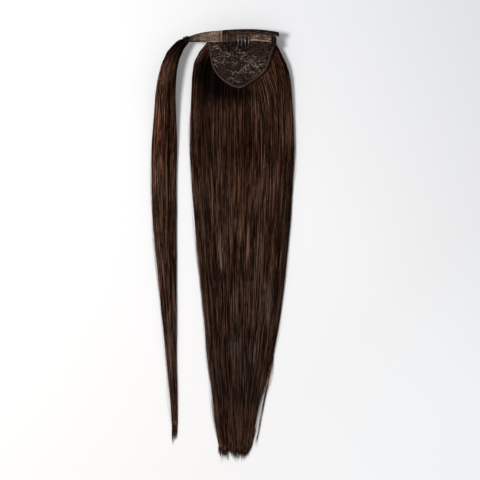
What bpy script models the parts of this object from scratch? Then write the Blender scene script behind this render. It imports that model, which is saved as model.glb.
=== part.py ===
"""Wrap-around clip-in ponytail hairpiece, lying on a flat surface with its inner side up.

Metres. +Z is up, +Y points from the hair's tips to the base, and z = 0 is the surface.
The origin is under the middle of the whole piece.
"""

import bmesh
import bpy
from mathutils import Vector

COLLECTION = "ponytail_hairpiece"

# Tail of hair
TAIL_LENGTH = 0.554
TAIL_WIDTH = 0.1367
TAIL_DEPTH = 0.019
TAIL_SETBACK = 0.0064  # from the band's highest edge down to where the hair starts

# Wrap strand
STRAND_DROP = 0.525  # from its root at the strap to its tips, along Y
STRAND_SIDE = 0.0323  # from its root out to its outermost axis, along X
STRAND_WIDTH = 0.034
STRAND_DEPTH = 0.012
STRAND_RISE = 0.0155  # highest place of its underside
ROOT_DOWN = 0.0133  # from the band's highest edge down to the root's axis

# Base
BASE_WIDTH = 0.088
BASE_SHIFT = 0.001  # base's axis left of the tail's axis
NET_DROP = 0.0602  # from the band's lower edge to the net's lowest edge
NET_THICK = 0.0012
BINDING_WALL = 0.001
BINDING_WIDTH = 0.0028
BINDING_LAP = 0.0014  # how far the net's edge goes into the folded binding

# Band, tapes and tab along the base's top edge
BAND_HEIGHT = 0.0166
BAND_THICK = 0.0016
CROWN_SHIFT = 0.008  # band's highest place right of the base's axis
LEFT_FALL = 0.0036
RIGHT_FALL = 0.0032
TAPE_HEIGHT = 0.0058
TAPE_THICK = 0.0014
TAB_LENGTH = 0.0052
HOOK_HEIGHT = 0.0084
HOOK_THICK = 0.002
END_WIDTH = 0.006
END_LENGTH = 0.0132
END_OVERHANG = 0.0017  # beyond the band's right end
END_THICK = 0.0014
SOFT_EDGE = 0.0004  # rounding of cloth edges

# Strap
STRAP_REACH = 0.0249  # beyond the base's left edge
STRAP_LAP = 0.0191  # over the band's left end
STRAP_WIDTH = 0.0152
STRAP_THICK = 0.0014
HEM_THICK = 0.0024
HEM_WIDTH = 0.002
STRAP_FALL = 0.005

# Comb
COMB_PITCH = 0.0046
COMB_TEETH = 7
TOOTH_LENGTH = 0.0205
TOOTH_RADIUS = 0.0007
SPINE_HEIGHT = 0.0022
SPINE_THICK = 0.0022
SPINE_END = 0.0009  # beyond the outer teeth's axes
COMB_SHIFT = 0.0042  # comb's middle left of the base's axis
TOOTH_DIP = 0.0019  # how far the tips sink towards the net

GAP = 0.0003  # clearance between neighbours
FIT = 0.0006  # clearance between pieces sewn side by side

# Levels, from the surface up
NET_Z = TAIL_DEPTH + GAP + BINDING_WALL + GAP
BAND_Z = NET_Z + NET_THICK + GAP
TRIM_Z = BAND_Z + BAND_THICK + GAP

# Places, with the whole piece centred on the origin
BASE_LEFT_OF_TAIL = BASE_SHIFT + BASE_WIDTH / 2
OUTER_LEFT_OF_TAIL = BASE_LEFT_OF_TAIL + STRAP_REACH + STRAND_SIDE + STRAND_WIDTH / 2
TAIL_X = (OUTER_LEFT_OF_TAIL - TAIL_WIDTH / 2) / 2
BASE_X = TAIL_X - BASE_SHIFT
TOP_Y = (TAIL_LENGTH + TAIL_SETBACK) / 2
BAND_LOW_Y = TOP_Y - BAND_HEIGHT
STRAP_END_X = BASE_X - BASE_WIDTH / 2 - STRAP_REACH
END_RIGHT_X = BASE_X + BASE_WIDTH / 2 + END_OVERHANG
COMB_X = BASE_X - COMB_SHIFT
COMB_LENGTH = (COMB_TEETH - 1) * COMB_PITCH + 2 * SPINE_END


def table(columns, *rows):
    """Rows with named columns."""
    return [dict(zip(columns.split(), row)) for row in rows]


# Sections of the tail from its head to its tips. along is a share of TAIL_LENGTH, left and
# right are shares of half of TAIL_WIDTH, and depth and lift are shares of TAIL_DEPTH: lift is
# how far the side edges stand off the surface.
TAIL_SECTIONS = table(
    "along left right depth lift",
    (0.000, 0.52, 0.49, 0.46, 0.28),
    (0.008, 0.60, 0.57, 0.80, 0.48),
    (0.020, 0.68, 0.64, 0.97, 0.58),
    (0.034, 0.77, 0.70, 1.00, 0.58),
    (0.048, 0.86, 0.76, 1.00, 0.55),
    (0.066, 0.92, 0.83, 1.00, 0.50),
    (0.090, 0.955, 0.90, 1.00, 0.40),
    (0.130, 0.972, 0.945, 0.99, 0.26),
    (0.200, 0.992, 0.984, 0.93, 0.10),
    (0.265, 1.000, 1.000, 0.87, 0.03),
    (0.335, 0.972, 0.972, 0.81, 0.0),
    (0.410, 0.926, 0.930, 0.75, 0.0),
    (0.495, 0.872, 0.878, 0.68, 0.0),
    (0.580, 0.800, 0.810, 0.61, 0.0),
    (0.674, 0.725, 0.713, 0.53, 0.0),
    (0.769, 0.665, 0.570, 0.45, 0.0),
    (0.840, 0.580, 0.420, 0.39, 0.0),
    (0.910, 0.530, 0.300, 0.32, 0.0),
    (0.958, 0.465, 0.215, 0.26, 0.0),
    (1.000, 0.420, 0.090, 0.18, 0.0),
)

# Locks of the tail from left to right. across and drift are shares of the tail's half width
# there, drift being how far a lock wanders by its tip. width is a share of the same, ends is
# a share of TAIL_LENGTH and stands is a share of the tail's depth there.
TAIL_LOCKS = table(
    "across width ends stands drift",
    (-0.915, 0.170, 0.975, 0.93, 0.03),
    (-0.800, 0.135, 0.990, 1.00, 0.04),
    (-0.670, 0.150, 0.981, 0.96, -0.04),
    (-0.545, 0.125, 0.996, 1.00, 0.05),
    (-0.420, 0.150, 0.985, 0.97, 0.00),
    (-0.290, 0.130, 1.000, 1.00, -0.05),
    (-0.160, 0.140, 0.988, 0.96, 0.03),
    (-0.030, 0.150, 0.997, 0.99, -0.03),
    (0.105, 0.130, 0.982, 0.97, 0.04),
    (0.235, 0.145, 0.993, 1.00, 0.00),
    (0.370, 0.135, 0.978, 0.96, 0.05),
    (0.500, 0.150, 0.988, 1.00, -0.04),
    (0.635, 0.135, 0.974, 0.97, 0.04),
    (0.770, 0.145, 0.981, 1.00, -0.03),
    (0.905, 0.180, 0.964, 0.94, -0.03),
)

# Sections of the wrap strand from its root to its tips. out is a share of STRAND_SIDE, down
# of STRAND_DROP, width of STRAND_WIDTH, depth and lift of STRAND_DEPTH and rise of
# STRAND_RISE: rise is how high the underside hangs, lift how far the edges curl above it.
STRAND_SECTIONS = table(
    "out down width depth lift rise",
    (0.000, 0.0000, 0.22, 0.68, 0.30, 0.86),
    (0.190, 0.0055, 0.33, 0.80, 0.30, 0.94),
    (0.364, 0.0160, 0.42, 0.88, 0.30, 1.00),
    (0.543, 0.0307, 0.51, 0.94, 0.32, 1.00),
    (0.684, 0.0494, 0.59, 0.98, 0.34, 1.00),
    (0.814, 0.0778, 0.66, 1.00, 0.34, 0.96),
    (0.900, 0.1127, 0.74, 1.00, 0.30, 0.84),
    (0.940, 0.1450, 0.79, 1.00, 0.26, 0.66),
    (0.950, 0.1800, 0.84, 0.99, 0.22, 0.44),
    (0.960, 0.2250, 0.93, 0.96, 0.14, 0.18),
    (0.985, 0.2750, 0.99, 0.92, 0.07, 0.04),
    (1.000, 0.3370, 0.98, 0.88, 0.00, 0.00),
    (0.995, 0.3990, 0.96, 0.84, 0.00, 0.00),
    (0.939, 0.4990, 0.85, 0.76, 0.00, 0.00),
    (0.858, 0.5990, 0.70, 0.66, 0.00, 0.00),
    (0.777, 0.6980, 0.55, 0.55, 0.00, 0.00),
    (0.696, 0.7980, 0.40, 0.44, 0.00, 0.00),
    (0.600, 0.8980, 0.28, 0.33, 0.00, 0.00),
    (0.565, 0.9600, 0.21, 0.25, 0.00, 0.00),
    (0.563, 1.0000, 0.15, 0.17, 0.00, 0.00),
)

# Locks of the wrap strand, as above. The pair in the middle leaves the parting line.
STRAND_LOCKS = table(
    "across width ends stands drift",
    (-0.76, 0.30, 0.965, 0.94, 0.08),
    (-0.36, 0.29, 1.000, 1.00, -0.05),
    (0.07, 0.24, 0.985, 0.96, 0.05),
    (0.44, 0.27, 0.995, 1.00, 0.06),
    (0.79, 0.27, 0.960, 0.95, -0.10),
)

# How a lock narrows over its tip. along is a share of the tip's length.
LOCK_TIP = table(
    "along size",
    (0.00, 1.00),
    (0.35, 0.88),
    (0.70, 0.62),
)

# Net's edge from its top left down, round its lowest place and up to its top right. across
# is a share of half of BASE_WIDTH from the axis and down a share of NET_DROP.
NET_EDGE = table(
    "across down",
    (-1.000, 0.000),
    (-0.962, 0.124),
    (-0.929, 0.289),
    (-0.893, 0.456),
    (-0.802, 0.622),
    (-0.620, 0.789),
    (-0.415, 0.904),
    (-0.250, 0.968),
    (-0.080, 1.000),
    (0.090, 0.972),
    (0.255, 0.904),
    (0.495, 0.789),
    (0.735, 0.622),
    (0.836, 0.456),
    (0.905, 0.289),
    (0.973, 0.124),
    (1.000, 0.000),
)

# Strap from its hem to the strand's root. along is a share of its length, upper and lower
# are shares of STRAP_WIDTH above the band's lower edge and fall is a share of STRAP_FALL.
STRAP_SECTIONS = table(
    "along upper lower fall",
    (0.00, 1.00, 0.000, 0.00),
    (0.23, 0.93, -0.010, 0.00),
    (0.45, 0.86, -0.015, 0.00),
    (0.55, 0.81, -0.015, 0.06),
    (0.66, 0.75, -0.015, 0.22),
    (0.78, 0.67, -0.015, 0.48),
    (0.90, 0.56, -0.010, 0.80),
    (1.00, 0.45, 0.000, 1.00),
)

# Comb tooth from the spine to its tip. along is a share of TOOTH_LENGTH, dip of TOOTH_DIP
# and radius of TOOTH_RADIUS.
TOOTH_SHAPE = table(
    "along dip radius",
    (0.00, 0.00, 1.00),
    (0.25, -0.10, 1.00),
    (0.42, 0.05, 1.00),
    (0.60, 0.45, 0.95),
    (0.82, 0.90, 0.85),
    (1.00, 1.00, 0.60),
)

ROUNDNESS = 2.6  # how full the hair's cross-section is: 2 is an ellipse
FLAT_SHARE = 0.5  # share of a section's half width that lies flat before its edges rise
EDGE_CURL = 1.6  # how suddenly the edges rise
CORE_SHARE = 0.93  # of the hair's outline and depth, for the backing under the locks
CORE_END_SHARE = 0.95
CORE_TAPER_SHARE = 0.1  # of its length, over which the backing thins out to its end
CORE_TIP_SHARE = 0.6
CORE_PLACES = (-1.0, -0.93, -0.78, -0.5, -0.18, 0.18, 0.5, 0.78, 0.93, 1.0)
LOCK_PLACES = (-1.0, -0.78, -0.42, 0.0, 0.42, 0.78, 1.0)
TIP_SHARE = 0.05  # of a lock's length, over which it narrows to its tip
CLOSE_SECTIONS = 6  # rows at the head that get a section between them, where hair curves most
TIP_WIDTH = 0.0011
TIP_DEPTH = 0.0011
START_STEP_SHARE = 0.3  # where the locks start, inside the backing's head
START_SIZE_SHARE = 0.86
SMOOTH_ANGLE = 0.6  # edges blunter than this, in radians, are shaded smooth
CORNER_ANGLE = 0.9  # edges sharper than this are softened
NUDGE_SHARE = 0.25  # in sections, for the wrap strand's direction
CURVE_STEPS = 2  # points between two rows of the net's edge
BAND_STEPS = 8  # points along the band's curved top edge


def read(rows, name, step):
    """Reads a column at a place between rows, on a smooth curve that never overshoots them."""
    low = min(int(step), len(rows) - 2)
    share = step - low
    values = [row[name] for row in rows]

    def slope(i):
        before = values[i] - values[max(i - 1, 0)]
        after = values[min(i + 1, len(rows) - 1)] - values[i]
        if i in (0, len(rows) - 1):
            return before + after
        if before * after <= 0:
            return 0.0
        return 2 * before * after / (before + after)

    square, cube = share**2, share**3
    return (
        values[low] * (2 * cube - 3 * square + 1)
        + slope(low) * (cube - 2 * square + share)
        + values[low + 1] * (3 * square - 2 * cube)
        + slope(low + 1) * (cube - square)
    )


def step_at(rows, name, value):
    """The place between rows where a rising column reaches a value."""
    low, high = 0.0, float(len(rows) - 1)
    for _ in range(40):
        middle = (low + high) / 2
        if read(rows, name, middle) < value:
            low = middle
        else:
            high = middle
    return high


def collection_named(name):
    """A new collection in the scene."""
    found = bpy.data.collections.new(name)
    bpy.context.scene.collection.children.link(found)
    return found


def material(name, colour, roughness, metallic=0.0):
    """A plain Principled material."""
    found = bpy.data.materials.new(name)
    found.use_nodes = True
    shader = found.node_tree.nodes["Principled BSDF"]
    shader.inputs["Base Color"].default_value = (*colour, 1.0)
    shader.inputs["Roughness"].default_value = roughness
    shader.inputs["Metallic"].default_value = metallic
    return found


def add(name, data, finish, home):
    """A new object with this mesh or curve, its material and its collection."""
    made = bpy.data.objects.new(name, data)
    data.materials.append(finish)
    home.objects.link(made)
    return made


def smooth(mesh):
    """Shades a mesh smooth, with its hard edges kept."""
    mesh.shade_smooth()
    mesh.set_sharp_from_angle(angle=SMOOTH_ANGLE)


def soften_edges(made):
    """Rounds a piece of cloth's edges a little."""
    soften = made.modifiers.new("soft_edge", "BEVEL")
    soften.width = SOFT_EDGE
    soften.segments = 2
    soften.limit_method = "ANGLE"
    soften.angle_limit = CORNER_ANGLE
    return made


def fuse_with(made, others):
    """Joins all shapes of a collection to this one, as one body."""
    fuse = made.modifiers.new("fuse", "BOOLEAN")
    fuse.operation = "UNION"
    fuse.solver = "EXACT"
    fuse.operand_type = "COLLECTION"
    fuse.collection = others
    return made


def as_helper(made):
    """Keeps a shape that another is built with out of the render."""
    made.hide_render = True
    made.display_type = "WIRE"
    return made


def loft(name, rings):
    """A closed mesh through rings of points that all have the same count."""
    shape = bmesh.new()
    rows = [[shape.verts.new(point) for point in ring] for ring in rings]
    for first, second in zip(rows, rows[1:]):
        for i, point in enumerate(first):
            after = (i + 1) % len(first)
            shape.faces.new((point, first[after], second[after], second[i]))
    shape.faces.new(reversed(rows[0]))
    shape.faces.new(rows[-1])
    bmesh.ops.recalc_face_normals(shape, faces=shape.faces)
    mesh = bpy.data.meshes.new(name)
    shape.to_mesh(mesh)
    shape.free()
    smooth(mesh)
    return mesh


def tail_section(step):
    """The tail's cross-section: its middle, its way across and its named heights."""
    along = read(TAIL_SECTIONS, "along", step)
    y = TOP_Y - TAIL_SETBACK - along * TAIL_LENGTH
    return {
        "middle": Vector((TAIL_X, y, 0.0)),
        "side": Vector((1.0, 0.0, 0.0)),
        "left": read(TAIL_SECTIONS, "left", step) * TAIL_WIDTH / 2,
        "right": read(TAIL_SECTIONS, "right", step) * TAIL_WIDTH / 2,
        "low": 0.0,
        "edge": read(TAIL_SECTIONS, "lift", step) * TAIL_DEPTH,
        "crown": read(TAIL_SECTIONS, "depth", step) * TAIL_DEPTH,
    }


def strand_middle(step):
    """The wrap strand's axis, seen from above."""
    step = min(max(step, 0.0), len(STRAND_SECTIONS) - 1.0)
    x = STRAP_END_X - GAP - read(STRAND_SECTIONS, "out", step) * STRAND_SIDE
    y = TOP_Y - ROOT_DOWN - read(STRAND_SECTIONS, "down", step) * STRAND_DROP
    return Vector((x, y, 0.0))


def strand_section(step):
    """The wrap strand's cross-section, square to its axis."""
    before, after = strand_middle(step - NUDGE_SHARE), strand_middle(step + NUDGE_SHARE)
    run = (after - before).normalized()
    if step == 0:
        run = Vector((-1.0, 0.0, 0.0))
    half = read(STRAND_SECTIONS, "width", step) * STRAND_WIDTH / 2
    low = read(STRAND_SECTIONS, "rise", step) * STRAND_RISE
    return {
        "middle": strand_middle(step),
        "side": Vector((-run.y, run.x, 0.0)),
        "left": half,
        "right": half,
        "low": low,
        "edge": low + read(STRAND_SECTIONS, "lift", step) * STRAND_DEPTH,
        "crown": low + read(STRAND_SECTIONS, "depth", step) * STRAND_DEPTH,
    }


def underside(section, across):
    """Height of the hair's underside: flat in the middle, rising to the side edges."""
    outer = max(abs(across) - FLAT_SHARE, 0.0) / (1 - FLAT_SHARE)
    return section["low"] + (section["edge"] - section["low"]) * min(outer, 1.0) ** EDGE_CURL


def topside(section, across):
    """Height of the hair's top, rounded down to the side edges."""
    full = (1 - min(abs(across), 1.0) ** ROUNDNESS) ** (1 / ROUNDNESS)
    return section["edge"] + (section["crown"] - section["edge"]) * full


def place(section, across, height):
    """A point of a cross-section."""
    reach = section["right"] if across > 0 else section["left"]
    spot = section["middle"] + section["side"] * (across * reach)
    return (spot.x, spot.y, height)


def core_ring(section, size):
    """The backing's outline at one section. size is its fullness there."""
    ring = []
    for across in CORE_PLACES:
        low = underside(section, across)
        high = low + CORE_SHARE * size * (topside(section, across) - low)
        ring.append(place(section, across * CORE_SHARE * size, high))
    for across in (FLAT_SHARE, -FLAT_SHARE):
        ring.append(place(section, across * size, section["low"]))
    return ring


def core_rings(rows, run, section_at):
    """The backing from its head to its thin end among the locks."""
    end = step_at(rows, run, CORE_END_SHARE)
    narrows = step_at(rows, run, CORE_END_SHARE - CORE_TAPER_SHARE)
    steps = [step for step in section_steps(rows) if step < narrows]
    rings = [core_ring(section_at(step), 1.0) for step in steps]
    for share in (0.0, 0.5, 1.0):
        step = narrows + (end - narrows) * share
        size = 1 - (1 - CORE_TIP_SHARE) * share**2
        rings.append(core_ring(section_at(step), size))
    return rings


def section_steps(rows):
    """Where the sections stand: at each row, and between the rows at the head."""
    steps = []
    for step in range(len(rows)):
        steps.append(float(step))
        if step < CLOSE_SECTIONS:
            steps.append(step + 0.5)
    return steps


def lock_ring(section, lock, share, size, tuck=1.0):
    """One lock's outline at one section.

    share is how far down it is, size is its fullness, and tuck draws it in to the middle.
    """
    middle = lock["across"] + lock["drift"] * share
    ring = []
    for offset in LOCK_PLACES:
        across = middle + offset * lock["width"] * size
        across = min(max(across, -1.0), 1.0)
        low = underside(section, across)
        full = max(1 - abs(offset) ** ROUNDNESS, 0.0) ** (1 / ROUNDNESS)
        high = low + (topside(section, across) - low) * lock["stands"] * full * size
        ring.append(place(section, across * tuck, high))
    return ring


def tip_ring(section, lock):
    """The small end of a lock."""
    middle = place(section, lock["across"] + lock["drift"], section["low"])
    ring = []
    for offset in LOCK_PLACES:
        full = max(1 - abs(offset) ** ROUNDNESS, 0.0) ** (1 / ROUNDNESS)
        spot = Vector(middle) + section["side"] * (offset * TIP_WIDTH / 2)
        ring.append((spot.x, spot.y, spot.z + TIP_DEPTH * full))
    return ring


def lock_rings(rows, run, section_at, lock):
    """A lock from inside the head of the backing to its own tip."""
    end = step_at(rows, run, lock["ends"])
    narrows = step_at(rows, run, lock["ends"] * (1 - TIP_SHARE))
    start, size = section_at(START_STEP_SHARE), START_SIZE_SHARE
    rings = [lock_ring(start, lock, 0.0, size, tuck=size)]
    for step in section_steps(rows)[2:]:
        if step < narrows:
            share = read(rows, run, step) / lock["ends"]
            rings.append(lock_ring(section_at(step), lock, share, 1.0))
    for tip in LOCK_TIP:
        step = narrows + (end - narrows) * tip["along"]
        share = read(rows, run, step) / lock["ends"]
        rings.append(lock_ring(section_at(step), lock, share, tip["size"]))
    rings.append(tip_ring(section_at(end), lock))
    return rings


def build_hair(name, rows, run, section_at, locks, finish, home, helpers):
    """A backing with locks fused to it."""
    core = add(name, loft(name, core_rings(rows, run, section_at)), finish, home)
    strips = bpy.data.collections.new(name + "_locks")
    helpers.children.link(strips)
    for i, lock in enumerate(locks):
        title = f"{name}_lock_{i + 1}"
        mesh = loft(title, lock_rings(rows, run, section_at, lock))
        as_helper(add(title, mesh, finish, strips))
    return fuse_with(core, strips)


def flat_piece(name, outline, low, thick, finish, home):
    """A flat piece of cloth: an outline with a thickness."""
    data = bpy.data.curves.new(name + "_outline", "CURVE")
    data.dimensions = "2D"
    data.fill_mode = "BOTH"
    data.extrude = thick / 2
    spline = data.splines.new("POLY")
    spline.points.add(len(outline) - 1)
    for point, (x, y) in zip(spline.points, outline):
        point.co = (x, y, 0.0, 1.0)
    spline.use_cyclic_u = True
    made = as_solid(name, data, finish, home)
    made.location.z = low + thick / 2
    return made


def as_solid(name, data, finish, home):
    """Turns curve data into a mesh object whose caps are joined to its sides."""
    curve = bpy.data.objects.new(name + "_curve", data)
    bpy.context.scene.collection.objects.link(curve)
    bpy.context.view_layer.update()
    graph = bpy.context.evaluated_depsgraph_get()
    mesh = bpy.data.meshes.new_from_object(curve.evaluated_get(graph))
    bpy.data.objects.remove(curve)
    shape = bmesh.new()
    shape.from_mesh(mesh)
    bmesh.ops.remove_doubles(shape, verts=shape.verts, dist=1e-6)
    bmesh.ops.dissolve_limit(
        shape, angle_limit=0.001, verts=shape.verts, edges=shape.edges
    )
    shape.to_mesh(mesh)
    shape.free()
    smooth(mesh)
    mesh.name = name
    mesh.materials.clear()
    return add(name, mesh, finish, home)


def net_edge(inset):
    """The net's edge from its top left round to its top right, moved in by inset."""
    line = []
    for i in range((len(NET_EDGE) - 1) * CURVE_STEPS + 1):
        step = i / CURVE_STEPS
        x = BASE_X + read(NET_EDGE, "across", step) * BASE_WIDTH / 2
        y = BAND_LOW_Y - read(NET_EDGE, "down", step) * NET_DROP
        line.append(Vector((x, y)))
    return [point + inward(line, i) * inset for i, point in enumerate(line)]


def inward(line, i):
    """The direction square to a line of points at one of them, on the net's side."""
    run = line[min(i + 1, len(line) - 1)] - line[max(i - 1, 0)]
    return Vector((-run.y, run.x)).normalized()


def band_top(x, inset=0.0):
    """The band's curved top edge."""
    crown = BASE_X + CROWN_SHIFT
    if x < crown:
        share = (crown - x) / (crown - BASE_X + BASE_WIDTH / 2)
        return TOP_Y - inset - LEFT_FALL * share**2
    share = (x - crown) / (BASE_X + BASE_WIDTH / 2 - crown)
    return TOP_Y - inset - RIGHT_FALL * share**2


def along_band(left, right, upper, height=None):
    """Outline of a strip under the band's top edge: of one height, or down to its lower edge."""
    places = [left + (right - left) * i / BAND_STEPS for i in range(BAND_STEPS + 1)]
    top = [(x, band_top(x, upper)) for x in places]
    if height is None:
        return top + [(right, BAND_LOW_Y), (left, BAND_LOW_Y)]
    return top + [(x, band_top(x, upper + height)) for x in reversed(places)]


def build_net(finish, home):
    """The net that the hair is sewn to: a shield under the band, down to a round end."""
    inset = BINDING_WIDTH - BINDING_LAP
    edge = net_edge(inset)
    top = along_band(edge[0].x, edge[-1].x, SOFT_EDGE)[: BAND_STEPS + 1]
    outline = [tuple(point) for point in edge] + list(reversed(top))
    return flat_piece("base_net", outline, NET_Z, NET_THICK, finish, home)


def build_binding(finish, home):
    """Tape folded round the net's edge: a C-shaped section swept along it."""
    wall, width = BINDING_WALL, BINDING_WIDTH
    slot = NET_THICK / 2 + GAP
    depth = BINDING_LAP + GAP
    outer = slot + wall
    section = (
        (0.0, -outer),
        (0.0, outer),
        (width, outer),
        (width, slot),
        (width - depth, slot),
        (width - depth, -slot),
        (width, -slot),
        (width, -outer),
    )
    line = [point for point in net_edge(0.0) if point.y < BAND_LOW_Y - FIT]
    middle = NET_Z + NET_THICK / 2
    rings = []
    for i, point in enumerate(line):
        way = inward(line, i)
        rings.append([(*(point + way * a), middle + b) for a, b in section])
    return add("edge_binding", loft("edge_binding", rings), finish, home)


def build_band(finish, home):
    """The wide band along the base's top edge."""
    half = BASE_WIDTH / 2
    outline = along_band(BASE_X - half, BASE_X + half, SOFT_EDGE)
    return soften_edges(flat_piece("top_band", outline, BAND_Z, BAND_THICK, finish, home))


def build_tape(finish, home):
    """The narrow tape along the band's top edge, whose free end is the tab at the right."""
    left = BASE_X - BASE_WIDTH / 2 + STRAP_LAP + FIT
    right = BASE_X + BASE_WIDTH / 2 + TAB_LENGTH
    outline = along_band(left, right, 0.0, TAPE_HEIGHT)
    return soften_edges(flat_piece("top_tape", outline, TRIM_Z, TAPE_THICK, finish, home))


def build_hook_tape(finish, home):
    """The hook patch that the wrapped strap grips, between the comb and the end binding."""
    left = COMB_X + COMB_LENGTH / 2 + FIT
    right = END_RIGHT_X - END_WIDTH - FIT
    outline = along_band(left, right, TAPE_HEIGHT + FIT, HOOK_HEIGHT)
    return soften_edges(flat_piece("hook_tape", outline, TRIM_Z, HOOK_THICK, finish, home))


def build_end_binding(finish, home):
    """The tape that closes the band's right end."""
    right = END_RIGHT_X
    left = right - END_WIDTH
    top = band_top(right, TAPE_HEIGHT + FIT)
    outline = [
        (left, top - END_LENGTH),
        (right, top - END_LENGTH),
        (right, top),
        (left, top),
    ]
    return soften_edges(flat_piece("end_binding", outline, TRIM_Z, END_THICK, finish, home))


def build_strap(finish, home):
    """The strap that carries the wrap strand, thicker at its folded hem."""
    length = STRAP_LAP + STRAP_REACH
    hem_x = BASE_X - BASE_WIDTH / 2 + STRAP_LAP
    hem = step_at(STRAP_SECTIONS, "along", HEM_WIDTH / length)
    after_hem = step_at(STRAP_SECTIONS, "along", (HEM_WIDTH + SOFT_EDGE) / length)
    steps = [0.0, hem, after_hem]
    steps += [i / 2 for i in range(1, 2 * len(STRAP_SECTIONS) - 1)]
    rings = []
    for step in steps:
        row = {name: read(STRAP_SECTIONS, name, step) for name in STRAP_SECTIONS[0]}
        x = hem_x - row["along"] * length
        upper = BAND_LOW_Y + row["upper"] * STRAP_WIDTH
        lower = BAND_LOW_Y + row["lower"] * STRAP_WIDTH
        low = TRIM_Z - row["fall"] * STRAP_FALL
        thick = HEM_THICK if step <= hem else STRAP_THICK
        rings.append(
            [
                (x, lower, low),
                (x, upper, low),
                (x, upper, low + thick),
                (x, lower, low + thick),
            ]
        )
    return soften_edges(add("wrap_strap", loft("wrap_strap", rings), finish, home))


def tooth_curve(name, x, root_y, root_z):
    """One round tapered tooth, as curve data."""
    data = bpy.data.curves.new(name, "CURVE")
    data.dimensions = "3D"
    data.bevel_depth = TOOTH_RADIUS
    data.bevel_resolution = 2
    data.use_fill_caps = True
    spline = data.splines.new("POLY")
    spline.points.add(len(TOOTH_SHAPE) - 1)
    for point, row in zip(spline.points, TOOTH_SHAPE):
        y = root_y - row["along"] * TOOTH_LENGTH
        z = root_z - row["dip"] * TOOTH_DIP
        point.co = (x, y, z, 1.0)
        point.radius = row["radius"]
    return data


def build_comb(finish, home, helpers):
    """The comb: a spine along the tape's lower edge, with teeth fused to it."""
    ends = (COMB_X - COMB_LENGTH / 2, COMB_X + COMB_LENGTH / 2)
    top = min(band_top(x, TAPE_HEIGHT + FIT) for x in ends)
    root_y = top - SPINE_HEIGHT / 2
    root_z = TRIM_Z + SPINE_THICK / 2
    shape = bmesh.new()
    bmesh.ops.create_cube(shape, size=1.0)
    bmesh.ops.scale(shape, vec=(COMB_LENGTH, SPINE_HEIGHT, SPINE_THICK), verts=shape.verts)
    bmesh.ops.translate(shape, vec=(COMB_X, root_y, root_z), verts=shape.verts)
    mesh = bpy.data.meshes.new("comb")
    shape.to_mesh(mesh)
    shape.free()
    comb = add("comb", mesh, finish, home)
    teeth = bpy.data.collections.new("comb_teeth")
    helpers.children.link(teeth)
    for i in range(COMB_TEETH):
        x = COMB_X + (i - (COMB_TEETH - 1) / 2) * COMB_PITCH
        title = f"comb_tooth_{i + 1}"
        as_helper(as_solid(title, tooth_curve(title, x, root_y, root_z), finish, teeth))
    return fuse_with(comb, teeth)


def main():
    for old in list(bpy.data.objects):
        bpy.data.objects.remove(old, do_unlink=True)
    home = collection_named(COLLECTION)
    helpers = collection_named("helpers")
    helpers.hide_render = True

    hair = material("hair", (0.024, 0.011, 0.007), 0.38)
    net = material("net", (0.030, 0.020, 0.014), 0.85)
    binding = material("binding", (0.060, 0.042, 0.033), 0.75)
    band = material("band", (0.028, 0.018, 0.013), 0.80)
    tape = material("tape", (0.016, 0.010, 0.008), 0.70)
    hooks = material("hooks", (0.105, 0.066, 0.048), 0.80)
    strap = material("strap", (0.130, 0.085, 0.063), 0.85)
    comb = material("comb", (0.035, 0.030, 0.028), 0.35)

    build_net(net, home)
    build_binding(binding, home)
    build_band(band, home)
    build_tape(tape, home)
    build_hook_tape(hooks, home)
    build_end_binding(tape, home)
    build_strap(strap, home)
    build_comb(comb, home, helpers)
    build_hair(
        "hair_tail", TAIL_SECTIONS, "along", tail_section, TAIL_LOCKS, hair, home, helpers
    )
    build_hair(
        "wrap_strand", STRAND_SECTIONS, "down", strand_section, STRAND_LOCKS, hair, home, helpers
    )


main()
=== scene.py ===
"""Looks of the wrap-around ponytail hairpiece: strands of hair, net, lace, tapes, strap and comb.

Metres, in the frame of the CAD part. +Z is up and +Y points from the hair's tips to the base.
"""

import math

import bpy
import numpy as np
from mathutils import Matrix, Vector


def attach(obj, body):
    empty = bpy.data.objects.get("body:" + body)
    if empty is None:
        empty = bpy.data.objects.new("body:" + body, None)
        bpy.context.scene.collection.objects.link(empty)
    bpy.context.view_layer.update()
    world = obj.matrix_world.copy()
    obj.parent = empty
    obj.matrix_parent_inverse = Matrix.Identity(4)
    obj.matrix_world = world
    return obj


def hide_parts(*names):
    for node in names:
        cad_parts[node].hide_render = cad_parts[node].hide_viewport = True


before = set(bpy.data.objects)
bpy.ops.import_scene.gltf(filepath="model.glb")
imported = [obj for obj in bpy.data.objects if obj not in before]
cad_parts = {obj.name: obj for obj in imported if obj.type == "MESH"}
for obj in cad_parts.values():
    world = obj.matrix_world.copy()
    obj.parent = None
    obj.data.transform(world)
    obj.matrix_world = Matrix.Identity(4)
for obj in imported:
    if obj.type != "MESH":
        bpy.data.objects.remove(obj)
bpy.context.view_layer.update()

# Sizes that part.py names, repeated here
TAIL_LENGTH = 0.554
TAIL_WIDTH = 0.1367
TAIL_DEPTH = 0.019
TAIL_SETBACK = 0.0064
STRAND_DROP = 0.525
STRAND_SIDE = 0.0323
STRAND_WIDTH = 0.034
STRAND_DEPTH = 0.012
STRAND_RISE = 0.0155
ROOT_DOWN = 0.0133
BASE_WIDTH = 0.088
NET_DROP = 0.0602
NET_THICK = 0.0012
BINDING_WIDTH = 0.0028
BAND_THICK = 0.0016
CROWN_SHIFT = 0.008
LEFT_FALL = 0.0036
RIGHT_FALL = 0.0032
TAPE_HEIGHT = 0.0058
TAPE_THICK = 0.0014
TAB_LENGTH = 0.0052
HOOK_HEIGHT = 0.0084
HOOK_THICK = 0.002
END_WIDTH = 0.006
END_LENGTH = 0.0132
END_THICK = 0.0014
STRAP_REACH = 0.0249
STRAP_LAP = 0.0191
STRAP_WIDTH = 0.0152
STRAP_THICK = 0.0014
STRAP_FALL = 0.005
COMB_PITCH = 0.0046
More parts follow.
